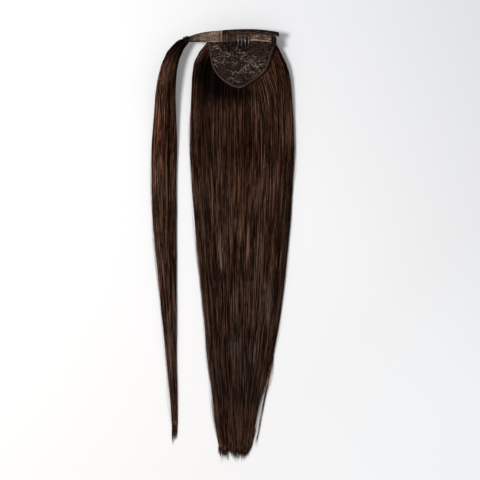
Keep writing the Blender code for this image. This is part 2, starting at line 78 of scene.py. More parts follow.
COMB_TEETH = 7
COMB_LENGTH = 0.0294
TOOTH_LENGTH = 0.0205
TOOTH_DIP = 0.0019
SPINE_HEIGHT = 0.0022
SPINE_THICK = 0.0022
GAP = 0.0003
FIT = 0.0006
ROUNDNESS = 2.6
FLAT_SHARE = 0.5
EDGE_CURL = 1.6

# Places that part.py works out, and what follows from them
TAIL_X = 0.02542
BASE_X = 0.02442
COMB_X = 0.02022
STRAP_END_X = -0.04448
END_RIGHT_X = 0.07012
TOP_Y = 0.2802
BAND_LOW_Y = 0.2636
NET_Z = 0.0206
BAND_Z = 0.0221
TRIM_Z = 0.0240
BASE_LEFT_X = BASE_X - BASE_WIDTH / 2
BASE_RIGHT_X = BASE_X + BASE_WIDTH / 2
NET_LOW_Y = BAND_LOW_Y - NET_DROP
NET_TOP = NET_Z + NET_THICK
BAND_TOP = BAND_Z + BAND_THICK
TAPE_TOP = TRIM_Z + TAPE_THICK
HOOK_TOP = TRIM_Z + HOOK_THICK

# The photograph's frame: 480 pixels wide, each 1.308 mm on the surface
FRAME_PIXELS = 480
PIXEL = 0.001308
PIXEL_X0 = 222.75
PIXEL_Y0 = 243.85
CAMERA_HEIGHT = 6.0
FOCUS_HEIGHT = 0.012

# Seeds of what is random, apart from the layers of strands, which have theirs in their table
SEEDS = {
    "tail_spikes": 77,
    "fan": 160,
    "loose_hairs": 500,
    "wisp": 520,
    "tips": 540,
    "hooks": 560,
    "comb": 580,
    "lace": 700,
    "net_slack": 11,
    "net_fine": 12,
    "net_tone": 21,
    "band_rise": 31,
    "band_tone": 32,
    "tape_rise": 41,
    "tape_tone": 42,
    "hook_rise": 51,
    "hook_light": 52,
    "hook_fleck": 53,
    "hook_cloud": 54,
    "strap_wrinkle": 61,
    "strap_weave": 62,
    "strap_grain": 63,
    "strap_cloud": 64,
}


def table(columns, *rows):
    """Rows with named columns, as arrays by column."""
    return dict(zip(columns.split(), np.array(rows, float).T))


TAIL_SECTIONS = table(
    "along left right depth lift",
    (0.000, 0.52, 0.49, 0.46, 0.28),
    (0.008, 0.60, 0.57, 0.80, 0.48),
    (0.020, 0.68, 0.64, 0.97, 0.58),
    (0.034, 0.77, 0.70, 1.00, 0.58),
    (0.048, 0.86, 0.76, 1.00, 0.55),
    (0.066, 0.92, 0.83, 1.00, 0.50),
    (0.090, 0.955, 0.90, 1.00, 0.40),
    (0.130, 0.972, 0.945, 0.99, 0.26),
    (0.200, 0.992, 0.984, 0.93, 0.10),
    (0.265, 1.000, 1.000, 0.87, 0.03),
    (0.335, 0.972, 0.972, 0.81, 0.0),
    (0.410, 0.926, 0.930, 0.75, 0.0),
    (0.495, 0.872, 0.878, 0.68, 0.0),
    (0.580, 0.800, 0.810, 0.61, 0.0),
    (0.674, 0.725, 0.713, 0.53, 0.0),
    (0.769, 0.665, 0.570, 0.45, 0.0),
    (0.840, 0.580, 0.420, 0.39, 0.0),
    (0.910, 0.530, 0.300, 0.32, 0.0),
    (0.958, 0.465, 0.215, 0.26, 0.0),
    (1.000, 0.420, 0.090, 0.18, 0.0),
)

STRAND_SECTIONS = table(
    "out down width depth lift rise",
    (0.000, 0.0000, 0.22, 0.68, 0.30, 0.86),
    (0.190, 0.0055, 0.33, 0.80, 0.30, 0.94),
    (0.364, 0.0160, 0.42, 0.88, 0.30, 1.00),
    (0.543, 0.0307, 0.51, 0.94, 0.32, 1.00),
    (0.684, 0.0494, 0.59, 0.98, 0.34, 1.00),
    (0.814, 0.0778, 0.66, 1.00, 0.34, 0.96),
    (0.900, 0.1127, 0.74, 1.00, 0.30, 0.84),
    (0.940, 0.1450, 0.79, 1.00, 0.26, 0.66),
    (0.950, 0.1800, 0.84, 0.99, 0.22, 0.44),
    (0.960, 0.2250, 0.93, 0.96, 0.14, 0.18),
    (0.985, 0.2750, 0.99, 0.92, 0.07, 0.04),
    (1.000, 0.3370, 0.98, 0.88, 0.00, 0.00),
    (0.995, 0.3990, 0.96, 0.84, 0.00, 0.00),
    (0.939, 0.4990, 0.85, 0.76, 0.00, 0.00),
    (0.858, 0.5990, 0.70, 0.66, 0.00, 0.00),
    (0.777, 0.6980, 0.55, 0.55, 0.00, 0.00),
    (0.696, 0.7980, 0.40, 0.44, 0.00, 0.00),
    (0.600, 0.8980, 0.28, 0.33, 0.00, 0.00),
    (0.565, 0.9600, 0.21, 0.25, 0.00, 0.00),
    (0.563, 1.0000, 0.15, 0.17, 0.00, 0.00),
)

NET_EDGE = table(
    "across down",
    (-1.000, 0.000),
    (-0.962, 0.124),
    (-0.929, 0.289),
    (-0.893, 0.456),
    (-0.802, 0.622),
    (-0.620, 0.789),
    (-0.415, 0.904),
    (-0.250, 0.968),
    (-0.080, 1.000),
    (0.090, 0.972),
    (0.255, 0.904),
    (0.495, 0.789),
    (0.735, 0.622),
    (0.836, 0.456),
    (0.905, 0.289),
    (0.973, 0.124),
    (1.000, 0.000),
)

STRAP_SECTIONS = table(
    "along upper lower fall",
    (0.00, 1.00, 0.000, 0.00),
    (0.23, 0.93, -0.010, 0.00),
    (0.45, 0.86, -0.015, 0.00),
    (0.55, 0.81, -0.015, 0.06),
    (0.66, 0.75, -0.015, 0.22),
    (0.78, 0.67, -0.015, 0.48),
    (0.90, 0.56, -0.010, 0.80),
    (1.00, 0.45, 0.000, 1.00),
)

TOOTH_SHAPE = table(
    "along dip radius",
    (0.00, 0.00, 1.00),
    (0.25, -0.10, 1.00),
    (0.42, 0.05, 1.00),
    (0.60, 0.45, 0.95),
    (0.82, 0.90, 0.85),
    (1.00, 1.00, 0.60),
)


# Curves and noise
def smooth_column(values, steps):
    """Values between rows, on the same smooth curve that part.py reads."""
    gaps = np.diff(values)
    slopes = np.zeros(len(values))
    slopes[0], slopes[-1] = gaps[0], gaps[-1]
    before, after = gaps[:-1], gaps[1:]
    total = np.where(before + after == 0, 1.0, before + after)
    slopes[1:-1] = np.where(before * after > 0, 2 * before * after / total, 0.0)
    low = np.clip(steps.astype(int), 0, len(values) - 2)
    s = steps - low
    return (
        values[low] * (2 * s**3 - 3 * s**2 + 1)
        + slopes[low] * (s**3 - 2 * s**2 + s)
        + values[low + 1] * (3 * s**2 - 2 * s**3)
        + slopes[low + 1] * (s**3 - s**2)
    )


def spread(rows, count=801):
    """Every column of a table at many even steps between its rows."""
    first = next(iter(rows.values()))
    steps = np.linspace(0, len(first) - 1, count)
    return {name: smooth_column(values, steps) for name, values in rows.items()}


def tail_form():
    """The tail's cross-sections along its length."""
    rows = spread(TAIL_SECTIONS)
    run = rows["along"]
    half = TAIL_WIDTH / 2
    return {
        "run": run,
        "x": np.full_like(run, TAIL_X),
        "y": TOP_Y - TAIL_SETBACK - run * TAIL_LENGTH,
        "side_x": np.ones_like(run),
        "side_y": np.zeros_like(run),
        "left": rows["left"] * half,
        "right": rows["right"] * half,
        "low": np.zeros_like(run),
        "edge": rows["lift"] * TAIL_DEPTH,
        "crown": rows["depth"] * TAIL_DEPTH,
    }


def strand_form():
    """The wrap strand's cross-sections along its length, square to its axis."""
    rows = spread(STRAND_SECTIONS)
    x = STRAP_END_X - GAP - rows["out"] * STRAND_SIDE
    y = TOP_Y - ROOT_DOWN - rows["down"] * STRAND_DROP
    way_x, way_y = np.gradient(x), np.gradient(y)
    length = np.hypot(way_x, way_y)
    # It leaves the strap's end level, as part.py has it.
    level = 1 - soft_step(np.linspace(0, len(STRAND_SECTIONS["out"]) - 1, len(x)), 0.0, 0.9)
    way_x = way_x / length * (1 - level) - level
    way_y = way_y / length * (1 - level)
    length = np.hypot(way_x, way_y)
    low = rows["rise"] * STRAND_RISE
    far = np.concatenate([[0.0], np.cumsum(np.hypot(np.diff(x), np.diff(y)))])
    return {
        "run": far / far[-1],
        "x": x,
        "y": y,
        "side_x": -way_y / length,
        "side_y": way_x / length,
        "left": rows["width"] * STRAND_WIDTH / 2,
        "right": rows["width"] * STRAND_WIDTH / 2,
        "low": low,
        "edge": low + rows["lift"] * STRAND_DEPTH,
        "crown": low + rows["depth"] * STRAND_DEPTH,
    }


def at(form, run):
    """A form's cross-section values at these shares of its length."""
    return {name: np.interp(run, form["run"], form[name]) for name in form}


def beside(f, away):
    """The x and y this far to the right of the axis, for cross-section values f."""
    return f["x"] + f["side_x"] * away, f["y"] + f["side_y"] * away


def on_shell(form, run, across, over, inset):
    """Points on a body of hair.

    across runs from -1 at its left edge to 1 at its right, over is 1 on its top and -1 on its
    underside, and inset is the depth below the surface in metres.
    """
    f = at(form, run)
    across = np.clip(across, -1, 1)
    reach = np.where(across > 0, f["right"], f["left"])
    full = (1 - np.abs(across) ** ROUNDNESS) ** (1 / ROUNDNESS)
    top = f["edge"] + (f["crown"] - f["edge"]) * full
    outer = np.clip(np.abs(across) - FLAT_SHARE, 0, None) / (1 - FLAT_SHARE)
    under = f["low"] + (f["edge"] - f["low"]) * outer**EDGE_CURL
    z = np.where(over > 0, top, under)
    middle = (f["crown"] + f["low"]) / 2
    half = np.maximum(f["crown"] - f["low"], 1e-5) / 2
    z = middle + (z - middle) * np.clip(1 - inset / half, 0.1, 1.4)
    away = across * np.maximum(reach - inset, reach * 0.1)
    return stacked(*beside(f, away), z)


def waves(count, run, parts, rng):
    """A smooth random curve for each of count strands, about -1 to 1. parts are wave counts."""
    total = np.zeros((count, run.shape[-1]))
    for waves_along in parts:
        phase = rng.uniform(0, 2 * np.pi, (count, 1))
        pace = waves_along * rng.uniform(0.7, 1.3, (count, 1))
        total += rng.normal(0, 1, (count, 1)) * np.sin(2 * np.pi * pace * run + phase)
    return total / math.sqrt(2 * len(parts))


def value_noise(x, y, seed):
    """Smooth noise of two coordinates, 0 to 1, a new value every unit."""
    rng = np.random.default_rng(seed)
    grid = rng.random((256, 256))
    xi, yi = np.floor(x).astype(int), np.floor(y).astype(int)
    fx, fy = x - xi, y - yi
    fx, fy = fx * fx * (3 - 2 * fx), fy * fy * (3 - 2 * fy)

    def corner(i, j):
        return grid[(xi + i) % 256, (yi + j) % 256]

    low = corner(0, 0) * (1 - fx) + corner(1, 0) * fx
    high = corner(0, 1) * (1 - fx) + corner(1, 1) * fx
    return low * (1 - fy) + high * fy


def soft_step(x, low, high):
    """0 below low, 1 above high and smooth between."""
    share = np.clip((x - low) / (high - low), 0, 1)
    return share * share * (3 - 2 * share)


def window(x, low, low_end, high, high_end):
    """1 between low_end and high, 0 below low and above high_end, and smooth between."""
    return soft_step(x, low, low_end) * (1 - soft_step(x, high, high_end))


def bell(x, middle, width):
    """1 at the middle, falling to nothing on both sides."""
    return np.exp(-(((x - middle) / width) ** 2))


def blob(x, y, cx, cy, rx, ry):
    """1 in the middle of a soft oval spot and 0 outside it. In pixels of the photograph."""
    far = np.hypot((x - cx) / rx, (y - cy) / ry)
    return 1 - soft_step(far, 0.35, 1.0)


def spots(px, py, rows):
    """The sum of soft oval spots. Each row has its place, its two half sizes and its amount."""
    return sum(amount * blob(px, py, *place) for *place, amount in rows)


def mottle(px, py, wide, high, seed):
    """Smooth noise about zero, with patches of this size in pixels."""
    return value_noise(px / wide, py / high, SEEDS[seed]) - 0.5


def in_pixels(x, y):
    """Where a place falls in the photograph's frame."""
    return PIXEL_X0 + x / PIXEL, PIXEL_Y0 - y / PIXEL


def from_pixels(px, py):
    """A place in the frame of the photograph, in metres."""
    return (px - PIXEL_X0) * PIXEL, (PIXEL_Y0 - py) * PIXEL


def evenly(count):
    """This many even shares from 0 to 1."""
    return np.linspace(0, 1, count)


def rng_of(name):
    """A fresh random generator with a seed of its own."""
    return np.random.default_rng(SEEDS[name])


def unit(vectors):
    """The vectors' directions."""
    return vectors / (np.linalg.norm(vectors, axis=-1, keepdims=True) + 1e-12)


def stacked(*values):
    """Points from their coordinates."""
    return np.stack(np.broadcast_arrays(*values), axis=-1)


# Meshes
def mesh_of(name, points, quads, finish, floats=None, uv=None):
    """A new piece from arrays of points and four-sided faces."""
    mesh = bpy.data.meshes.new(name)
    points = np.ascontiguousarray(points.reshape(-1, 3), np.float32)
    quads = np.ascontiguousarray(quads.reshape(-1, 4), np.int32)
    mesh.vertices.add(len(points))
    mesh.vertices.foreach_set("co", points.ravel())
    mesh.loops.add(quads.size)
    mesh.loops.foreach_set("vertex_index", quads.ravel())
    mesh.polygons.add(len(quads))
    mesh.polygons.foreach_set("loop_start", np.arange(0, quads.size, 4, dtype=np.int32))
    mesh.update(calc_edges=True)
    mesh.validate()
    mesh.shade_smooth()
    for title, values in (floats or {}).items():
        layer = mesh.attributes.new(title, "FLOAT", "POINT")
        layer.data.foreach_set("value", np.ascontiguousarray(values, np.float32).ravel())
    if uv is not None:
        corner = np.ascontiguousarray(uv.reshape(-1, 2), np.float32)[quads.ravel()]
        for title in ("strand_map", "OFBake"):
            layer = mesh.uv_layers.new(name=title)
            layer.data.foreach_set("uv", corner.ravel())
    mesh.materials.append(finish)
    made = bpy.data.objects.new(name, mesh)
    bpy.context.scene.collection.objects.link(made)
    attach(made, "root")
    return made


def grid_quads(rows, columns, start=0):
    """Faces of a grid of points."""
    first = start + np.arange(rows - 1)[:, None] * columns + np.arange(columns - 1)[None, :]
    return np.stack([first, first + 1, first + columns + 1, first + columns], -1).reshape(-1, 4)


def slab(name, top, bottom, finish, tone):
    """A closed sheet between two grids of points, such as cloth, with a tone at each."""
    rows, columns = top.shape[:2]
    count = rows * columns
    upper = grid_quads(rows, columns)
    lower = grid_quads(rows, columns, count)[:, ::-1]
    index = np.arange(count).reshape(rows, columns)
    rim = np.concatenate([index[0, :-1], index[:-1, -1], index[-1, :0:-1], index[:0:-1, 0]])
    after = np.roll(rim, -1)
    sides = np.stack([after, rim, rim + count, after + count], -1)
    quads = np.concatenate([upper, lower, sides])
    points = np.concatenate([top.reshape(-1, 3), bottom.reshape(-1, 3)])
    return mesh_of(name, points, quads, finish, {"tone": np.tile(tone.ravel(), 2)})


def ribbons(name, centre, across, width, finish, floats, uv):
    """Flat strands. centre is (strands, points, 3), across their unit width directions."""
    count, steps = centre.shape[:2]
    half = across * (width / 2)[..., None]
    points = np.stack([centre - half, centre + half], axis=2)
    first = (np.arange(count)[:, None] * steps + np.arange(steps - 1)[None, :]) * 2
    quads = np.stack([first, first + 1, first + 3, first + 2], axis=-1)
    floats = {key: np.repeat(v[..., None], 2, axis=2) for key, v in floats.items()}
    return mesh_of(name, points, quads, finish, floats, np.repeat(uv[:, :, None], 2, axis=2))


def tubes(name, paths, radius, sides, finish, tone, flat=1.0):
    """Round threads along paths of (threads, points, 3). Four-sided ones have closed ends."""
    count, steps = paths.shape[:2]
    way = unit(np.gradient(paths, axis=1))
    up = np.zeros_like(way)
    up[..., 2] = 1.0
    steep = np.abs(way[..., 2]) > 0.95
    up[steep] = (0.0, 1.0, 0.0)
    side = unit(np.cross(way, up))
    lift = np.cross(side, way) * flat
    turn = np.arange(sides) * 2 * np.pi / sides
    ring = side[:, :, None] * np.cos(turn)[:, None] + lift[:, :, None] * np.sin(turn)[:, None]
    radius = np.broadcast_to(radius, (count, steps))
    points = paths[:, :, None] + ring * radius[:, :, None, None]
    first = np.arange(count)[:, None, None] * steps + np.arange(steps - 1)[None, :, None]
    corner = np.arange(sides)[None, None, :]
    after = (corner + 1) % sides
    a, b = first * sides + corner, first * sides + after
    quads = np.stack([a, b, b + sides, a + sides], axis=-1).reshape(-1, 4)
    if sides == 4:
        start = np.arange(count) * steps * sides
        end = start + (steps - 1) * sides
        first_caps = np.stack([start + 3, start + 2, start + 1, start], -1)
        last_caps = np.stack([end, end + 1, end + 2, end + 3], -1)
        quads = np.concatenate([quads, first_caps, last_caps])
    tones = np.repeat(np.broadcast_to(tone, (count, steps))[..., None], sides, axis=2)
    return mesh_of(name, points, quads, finish, {"tone": tones})


def closed_tube(index, shift):
    """Faces of a tube of rings, with ends that join the points of a ring that face each other."""
    sides = index.shape[1]
    after = np.roll(index, -1, axis=1)
    quads = np.stack([index[:-1], index[1:], after[1:], after[:-1]], -1).reshape(-1, 4)
    caps = []
    for ring, turned in ((index[0], False), (index[-1], True)):
        for i in range(sides // 2):
            quad = (ring[i], ring[i + 1], ring[(shift - i - 1) % sides], ring[(shift - i) % sides])
            if len(set(quad)) == 4:
                caps.append(quad[::-1] if turned else quad)
    return np.concatenate([quads, np.array(caps)])


# Materials
class Nodes:
    """A short way to write a material's nodes."""

    def __init__(self, name):
        self.material = bpy.data.materials.new(name)
        self.material.use_nodes = True
        self.tree = self.material.node_tree
        self.shader = self.tree.nodes["Principled BSDF"]

    def add(self, kind, settings=None, **inputs):
        node = self.tree.nodes.new(kind)
        for key, value in (settings or {}).items():
            setattr(node, key, value)
        for key, value in inputs.items():
            self.put(node, key.replace("_", " "), value)
        return node

    def put(self, node, key, value):
        socket = node.inputs[int(key)] if key.isdigit() else node.inputs[key]
        if isinstance(value, bpy.types.NodeSocket):
            self.tree.links.new(value, socket)
        else:
            socket.default_value = value

    def shade(self, **inputs):
        for key, value in inputs.items():
            self.put(self.shader, key.replace("_", " "), value)
        return self.material

    def math(self, operation, a, b):
        node = self.add("ShaderNodeMath", {"operation": operation})
        self.put(node, "0", a)
        self.put(node, "1", b)
        return node.outputs[0]

    def mix(self, *parts, plus=0.0):
        """The sum of a constant and of (source, weight) parts."""
        total = plus
        for source, weight in parts:
            total = self.math("ADD", total, self.math("MULTIPLY", source, weight))
        return total

    def mapped(self, source, scale):
        return self.add("ShaderNodeMapping", Vector=source, Scale=scale).outputs[0]

    def place(self):
        return self.add("ShaderNodeTexCoord").outputs["Object"]

    def noise(self, vector, scale, detail=2.0, roughness=0.5):
        settings = {"Vector": vector, "Scale": scale, "Detail": detail, "Roughness": roughness}
        return self.add("ShaderNodeTexNoise", **settings).outputs["Fac"]

    def value(self, title):
        return self.add("ShaderNodeAttribute", {"attribute_name": title}).outputs["Fac"]

    def ramp(self, fac, *stops):
        node = self.add("ShaderNodeValToRGB", Fac=fac)
        line = node.color_ramp.elements
        while len(line) < len(stops):
            line.new(0.5)
        for element, (place, *colour) in zip(line, stops):
            element.position = place
            element.color = (*colour, 1.0)
        return node.outputs["Color"]

    def multiply(self, colour, factor):
        node = self.add("ShaderNodeMix", {"data_type": "RGBA", "blend_type": "MULTIPLY"})
        node.inputs[0].default_value = 1.0
        self.put(node, "6", colour)
        self.put(node, "7", factor)
        return node.outputs[2]


# Streaks of the hair's tone: how many there are across and along a body of hair, their detail
# and their weight. The third is the single hairs.
STREAKS = (
    ((48.0, 1.5, 1.0), 2.0, 0.08),
    ((320.0, 5.0, 1.0), 1.0, 0.10),
    ((900.0, 7.0, 1.0), 1.0, 2.05),
    ((700.0, 60.0, 1.0), 1.0, 0.50),
)
SINGLE_HAIRS = 2
STREAK_MEAN = 0.866
SINGLE_MEAN = 0.528
# Where up from the tips the single hairs start to stand out more, and how fast
TIPS_SHARE = 0.55
TIPS_GAIN = 2.5
HAIR_COLOURS = (
    (0.32, 0.0024, 0.0005, 0.0003),
    (0.44, 0.0095, 0.0034, 0.0021),
    (0.53, 0.0225, 0.0100, 0.0064),
    (0.62, 0.055, 0.0300, 0.0204),
    (0.80, 0.180, 0.109, 0.074),
)
# The tint from the tips at 0 up to the root at 1
HAIR_TINTS = (
    (0.04, 0.94, 0.87, 0.95),
    (0.25, 1.04, 1.15, 1.30),
    (0.60, 1.04, 1.05, 1.07),
    (0.74, 1.00, 0.89, 0.86),
)


def hair_material():
    """Dark brown hair. Its tone runs in streaks along the strands, read from their own map."""
    n = Nodes("hair_strands")
    place = n.add("ShaderNodeUVMap", {"uv_map": "strand_map"}).outputs["UV"]
    streaks = [(n.noise(n.mapped(place, fine), 1.0, detail), weight) for fine, detail, weight in STREAKS]
    single = streaks[SINGLE_HAIRS][0]
    up = n.add("ShaderNodeSeparateXYZ", Vector=place).outputs["Y"]
    near_tips = n.math("MULTIPLY", n.math("SUBTRACT", TIPS_SHARE, up), TIPS_GAIN)
    near_tips = n.math("MAXIMUM", near_tips, 0.0)
    stronger = n.math("MULTIPLY", near_tips, n.math("SUBTRACT", single, SINGLE_MEAN))
    tone = n.mix(*streaks, (stronger, 1.0), (n.value("tone"), 1.0), plus=-STREAK_MEAN)
    patch = n.noise(n.mapped(place, (5.0, 5.0, 1.0)), 1.0, 1.0)
    red = n.ramp(patch, (0.40, 0.88, 0.70, 0.60), (0.58, 0.96, 0.90, 0.88))
    colour = n.multiply(n.multiply(n.ramp(tone, *HAIR_COLOURS), red), n.ramp(up, *HAIR_TINTS))
    return n.shade(
        Base_Color=n.multiply(colour, n.value("shade")),
        Roughness=0.42,
        Specular_IOR_Level=0.025,
        Specular_Tint=(1.0, 0.72, 0.52, 1.0),
    )


# Each cloth's colours from dark to light, the size of its mottling, the direction and size of
# its ribs, and its sheen
CLOTHS = {
    "net_mesh": (
        ((0.34, 0.0016, 0.0007, 0.0005), (0.48, 0.0095, 0.0045, 0.0029), (0.66, 0.041, 0.0235, 0.0165)),
        0.0009, None, 0.08,
    ),
    "binding_weave": (
        ((0.35, 0.008, 0.0045, 0.0032), (0.55, 0.022, 0.0135, 0.0100), (0.80, 0.085, 0.060, 0.050)),
        0.0005, None, 0.08,
    ),
    "band_weave": (
        ((0.30, 0.0045, 0.0022, 0.0014), (0.50, 0.0215, 0.0112, 0.0064), (0.75, 0.095, 0.056, 0.034)),
        0.0006, ("X", 0.0014), 0.08,
    ),
    "tape_weave": (
        ((0.35, 0.003, 0.0012, 0.0009), (0.55, 0.0095, 0.0045, 0.0032), (0.80, 0.068, 0.042, 0.032)),
        0.0005, ("X", 0.0009), 0.08,
    ),
    "strap_loops": (
        (
            (0.26, 0.018, 0.009, 0.006),
            (0.42, 0.060, 0.035, 0.025),
            (0.54, 0.110, 0.070, 0.051),
            (0.75, 0.255, 0.190, 0.150),
        ),
        0.0005, ("Y", 0.0008), 0.3,
    ),
    "hook_ground": (
        ((0.25, 0.020, 0.011, 0.008), (0.50, 0.085, 0.052, 0.038), (0.80, 0.300, 0.220, 0.180)),
        0.0005, None, 0.08,
    ),
}

# Each thread's colours from dark to light
THREADS = {
    "lace_thread": (
        (0.10, 0.005, 0.0028, 0.002),
        (0.35, 0.024, 0.014, 0.0100),
        (0.65, 0.155, 0.104, 0.080),
        (1.0, 0.44, 0.35, 0.30),
    ),
    "hook_thread": ((0.2, 0.045, 0.022, 0.014), (0.6, 0.170, 0.095, 0.058), (1.0, 0.40, 0.28, 0.20)),
    "root_binding": ((0.0, 0.002, 0.0012, 0.001), (1.0, 0.012, 0.006, 0.004)),
}


def cloth_material(name):
    """Woven or brushed cloth."""
    stops, grain, ribs, sheen = CLOTHS[name]
    n = Nodes(name)
    place = n.place()
    coarse = n.noise(place, 1 / (grain * 6), 3.0)
    fine = n.noise(place, 1 / grain, 3.0, 0.65)
    height = n.mix((coarse, 0.45), (fine, 0.55))
    if ribs:
        direction, size = ribs
        settings = {"bands_direction": direction, "wave_type": "BANDS"}
        look = {"Scale": 0.314 / size, "Distortion": 1.2, "Detail": 2.0}
        wave = n.add("ShaderNodeTexWave", settings, Vector=place, **look).outputs["Fac"]
        height = n.mix((height, 0.72), (wave, 0.28))
    return n.shade(
        Base_Color=n.ramp(n.math("ADD", height, n.value("tone")), *stops),
        Roughness=0.85,
        Specular_IOR_Level=0.08,
        Sheen_Weight=sheen,
        Sheen_Roughness=0.5,
        Sheen_Tint=(0.55, 0.42, 0.34, 1.0),
        Normal=n.add("ShaderNodeBump", Height=height, Distance=0.0003, Strength=1.0).outputs["Normal"],
    )


def plastic_material():
    """Dark glossy comb plastic with faint moulding marks."""
    n = Nodes("comb_plastic")
    marks = n.noise(n.mapped(n.place(), (900.0, 120.0, 900.0)), 1.0, 3.0)
    colour = n.ramp(
        n.math("ADD", marks, n.value("tone")),
        (0.25, 0.006, 0.004, 0.003),
        (0.50, 0.030, 0.017, 0.009),
        (0.78, 0.085, 0.068, 0.060),
        (1.0, 0.30, 0.26, 0.24),
    )
    rough = n.add("ShaderNodeMapRange", Value=marks, To_Min=0.30, To_Max=0.50).outputs["Result"]
    return n.shade(Base_Color=colour, Roughness=rough, Specular_IOR_Level=0.16)


def thread_material(name):
    """Sewing or lace thread. Each thread has its own tone."""
    n = Nodes(name)
    twist = n.noise(n.place(), 1100.0, 2.0)
    colour = n.ramp(n.mix((twist, 0.35), (n.value("tone"), 1.0)), *THREADS[name])
    return n.shade(Base_Color=colour, Roughness=0.65, Specular_IOR_Level=0.08)


def floor_material():
    """A pale surface with a painted falloff of light: darker and cooler to the upper right and a little
    cooler to the lower right.
    """
    n = Nodes("pale_floor")
    faint = n.noise(n.place(), 3.0, 2.0)
    split = n.add("ShaderNodeSeparateXYZ", Vector=n.place())
    x, y = split.outputs["X"], split.outputs["Y"]
    tone = n.mix((x, 0.9), (y, 0.9), (faint, 0.05), plus=0.35)
    colour = n.ramp(
        tone,
        (0.0, 0.80, 0.797, 0.80),
        (0.5, 0.785, 0.795, 0.812),
        (1.0, 0.675, 0.695, 0.725),
    )
    corner = n.ramp(n.math("SUBTRACT", x, y), (0.30, 1.0, 1.0, 1.0), (0.62, 1.04, 1.075, 1.10))
    return n.shade(Base_Color=n.multiply(colour, corner), Roughness=0.9, Specular_IOR_Level=0.1)


# Hair
ABOVE = 1
BELOW = -1
LEAST_HEIGHT = 0.0003
SIDE_STEP = 0.01  # across a body of hair, to find a strand's width direction
TIP_WIDTH = 0.3
ROLL = 0.55
MAP_JITTER = 0.012
MAP_EDGE = 0.001
SHORT_SHARE = 0.12
LIGHT_TONE = 0.10
BACKING_END = 0.93
ROOT_THREAD_RADIUS = 0.00042
ROOT_THREAD_LOOPS = 9
ROOT_THREAD_PITCH = 0.00125  # as a share of the strand's length
FAN_COUNT = 230
FAN_HIGHLIGHT_SHARE = 0.18
FAN_WIDTH = 0.00034
LOOSE_WIDTH = 0.00014
WISP_HAIRS = 26
WISP_WIDTH = 0.00020
FRAYED_WIDTH = 0.00030
SHADE_LIMITS = (0.02, 2.0)

# How strands lie in each body of hair: the crowding of their points near the root, the number of
# clumps and how far these close up and wander, how far single strands wander, dive and stand
# proud, how deep the grooves between clumps are, the number of spikes at the tips, how hard and
# from where strands are pulled into them and fray, and how much the right side is trimmed
TAIL_SHAPE = dict(
    crowd=1.35, clumps=88, pinch=0.35, clump_wander=0.010, wander=0.0060, dive=0.00022, proud=-0.0004,
    groove=0.00012, spikes=26, pull=0.45, gather=0.94, fray=0.03, trim=0.13,
)
STRAND_SHAPE = dict(
    crowd=1.15, clumps=13, pinch=0.30, clump_wander=0.020, wander=0.020, dive=0.0002, proud=-0.0003,
    groove=0.0003, spikes=6, pull=0.30, gather=0.94, fray=0.05, trim=0.0,
)

# Layers of strands: their name and seed, how many strands and points along each, the share that
# is spread evenly across, the least and the greatest depth under the surface, their side, the
# spread of their tones, the share of light ones and their width
TAIL_LAYERS = (
    ("tail_strands_1", 100, 3500, 22, 0.75, 0.0, 0.0017, ABOVE, 0.03, 0.04, 0.00062),
    ("tail_strands_2", 101, 3500, 22, 0.75, 0.0, 0.0017, ABOVE, 0.03, 0.04, 0.00062),
    ("tail_strands_3", 102, 3500, 22, 0.75, -0.0003, 0.0006, ABOVE, 0.03, 0.04, 0.00062),
    ("tail_strands_under", 140, 1700, 21, 1.0, 0.0, 0.0008, BELOW, 0.045, 0.0, 0.00085),
)
STRAND_LAYERS = (
    ("wrap_strands", 300, 2600, 25, 0.7, -0.0002, 0.0014, ABOVE, 0.03, 0.0, 0.0005),
    ("wrap_strands_under", 301, 700, 23, 1.0, 0.0, 0.0007, BELOW, 0.03, 0.0, 0.0007),
)

# Painted shade, painted highlights and darker or lighter tone on the tail, in pixels: middle, half sizes
# and how much lighter
TAIL_SHADE_AND_TONE_SPOTS = (
    # Painted shade under the net's lower edge
    (210, 74, 28, 36, -0.97),
    (222, 88, 32, 18, -0.90),
    (240, 95, 30, 14, -0.60),
    (202, 47, 8, 7, 0.60),
    (292, 200, 12, 120, -0.25),
    (262, 88, 18, 16, -0.35),
    (240, 135, 60, 50, -0.1316),
    # A painted sheen down the tail
    (246, 220, 50, 90, 0.24),
    (222, 160, 30, 60, -0.18),
    (231, 262, 14, 44, -0.22),
    (238, 372, 60, 60, -0.25),
    (236, 446, 40, 26, 0.20),
    # A painted highlight on the tail's right shoulder
    (283, 74, 15, 32, 0.50),
)
TAIL_TONE = 0.76
# Rims of the tail lightened with painted light: side, where across they start and are full, the rows of
# pixels where they come in and go out, and how much lighter
TAIL_PAINTED_LIT_RIMS = (
    (-1, 0.95, 1.00, (110, 160, 900, 999), 0.9),
    (1, 0.80, 1.00, (60, 80, 130, 170), 0.5),
    (-1, 0.80, 0.95, (-99, -9, 110, 140), 0.6),
)

# The wrap strand's groove across it, darkened with painted shade, and the rows of pixels where its shades
# change
GROOVE_PLACE = 0.36
ROOT_DARK = (44, 84)
GROOVE_START = (60, 100)
LIT_UPPER = (120, 200)
STRAND_TONE = 1.08


def which(across, parts):
    """The number of the part, from the left, in which a place across falls."""
    return np.clip(np.floor((across + 1) / 2 * parts).astype(int), 0, parts - 1)


def middle_of(part, parts):
    """The place across of a part's middle."""
    return (part + 0.5) / parts * 2 - 1


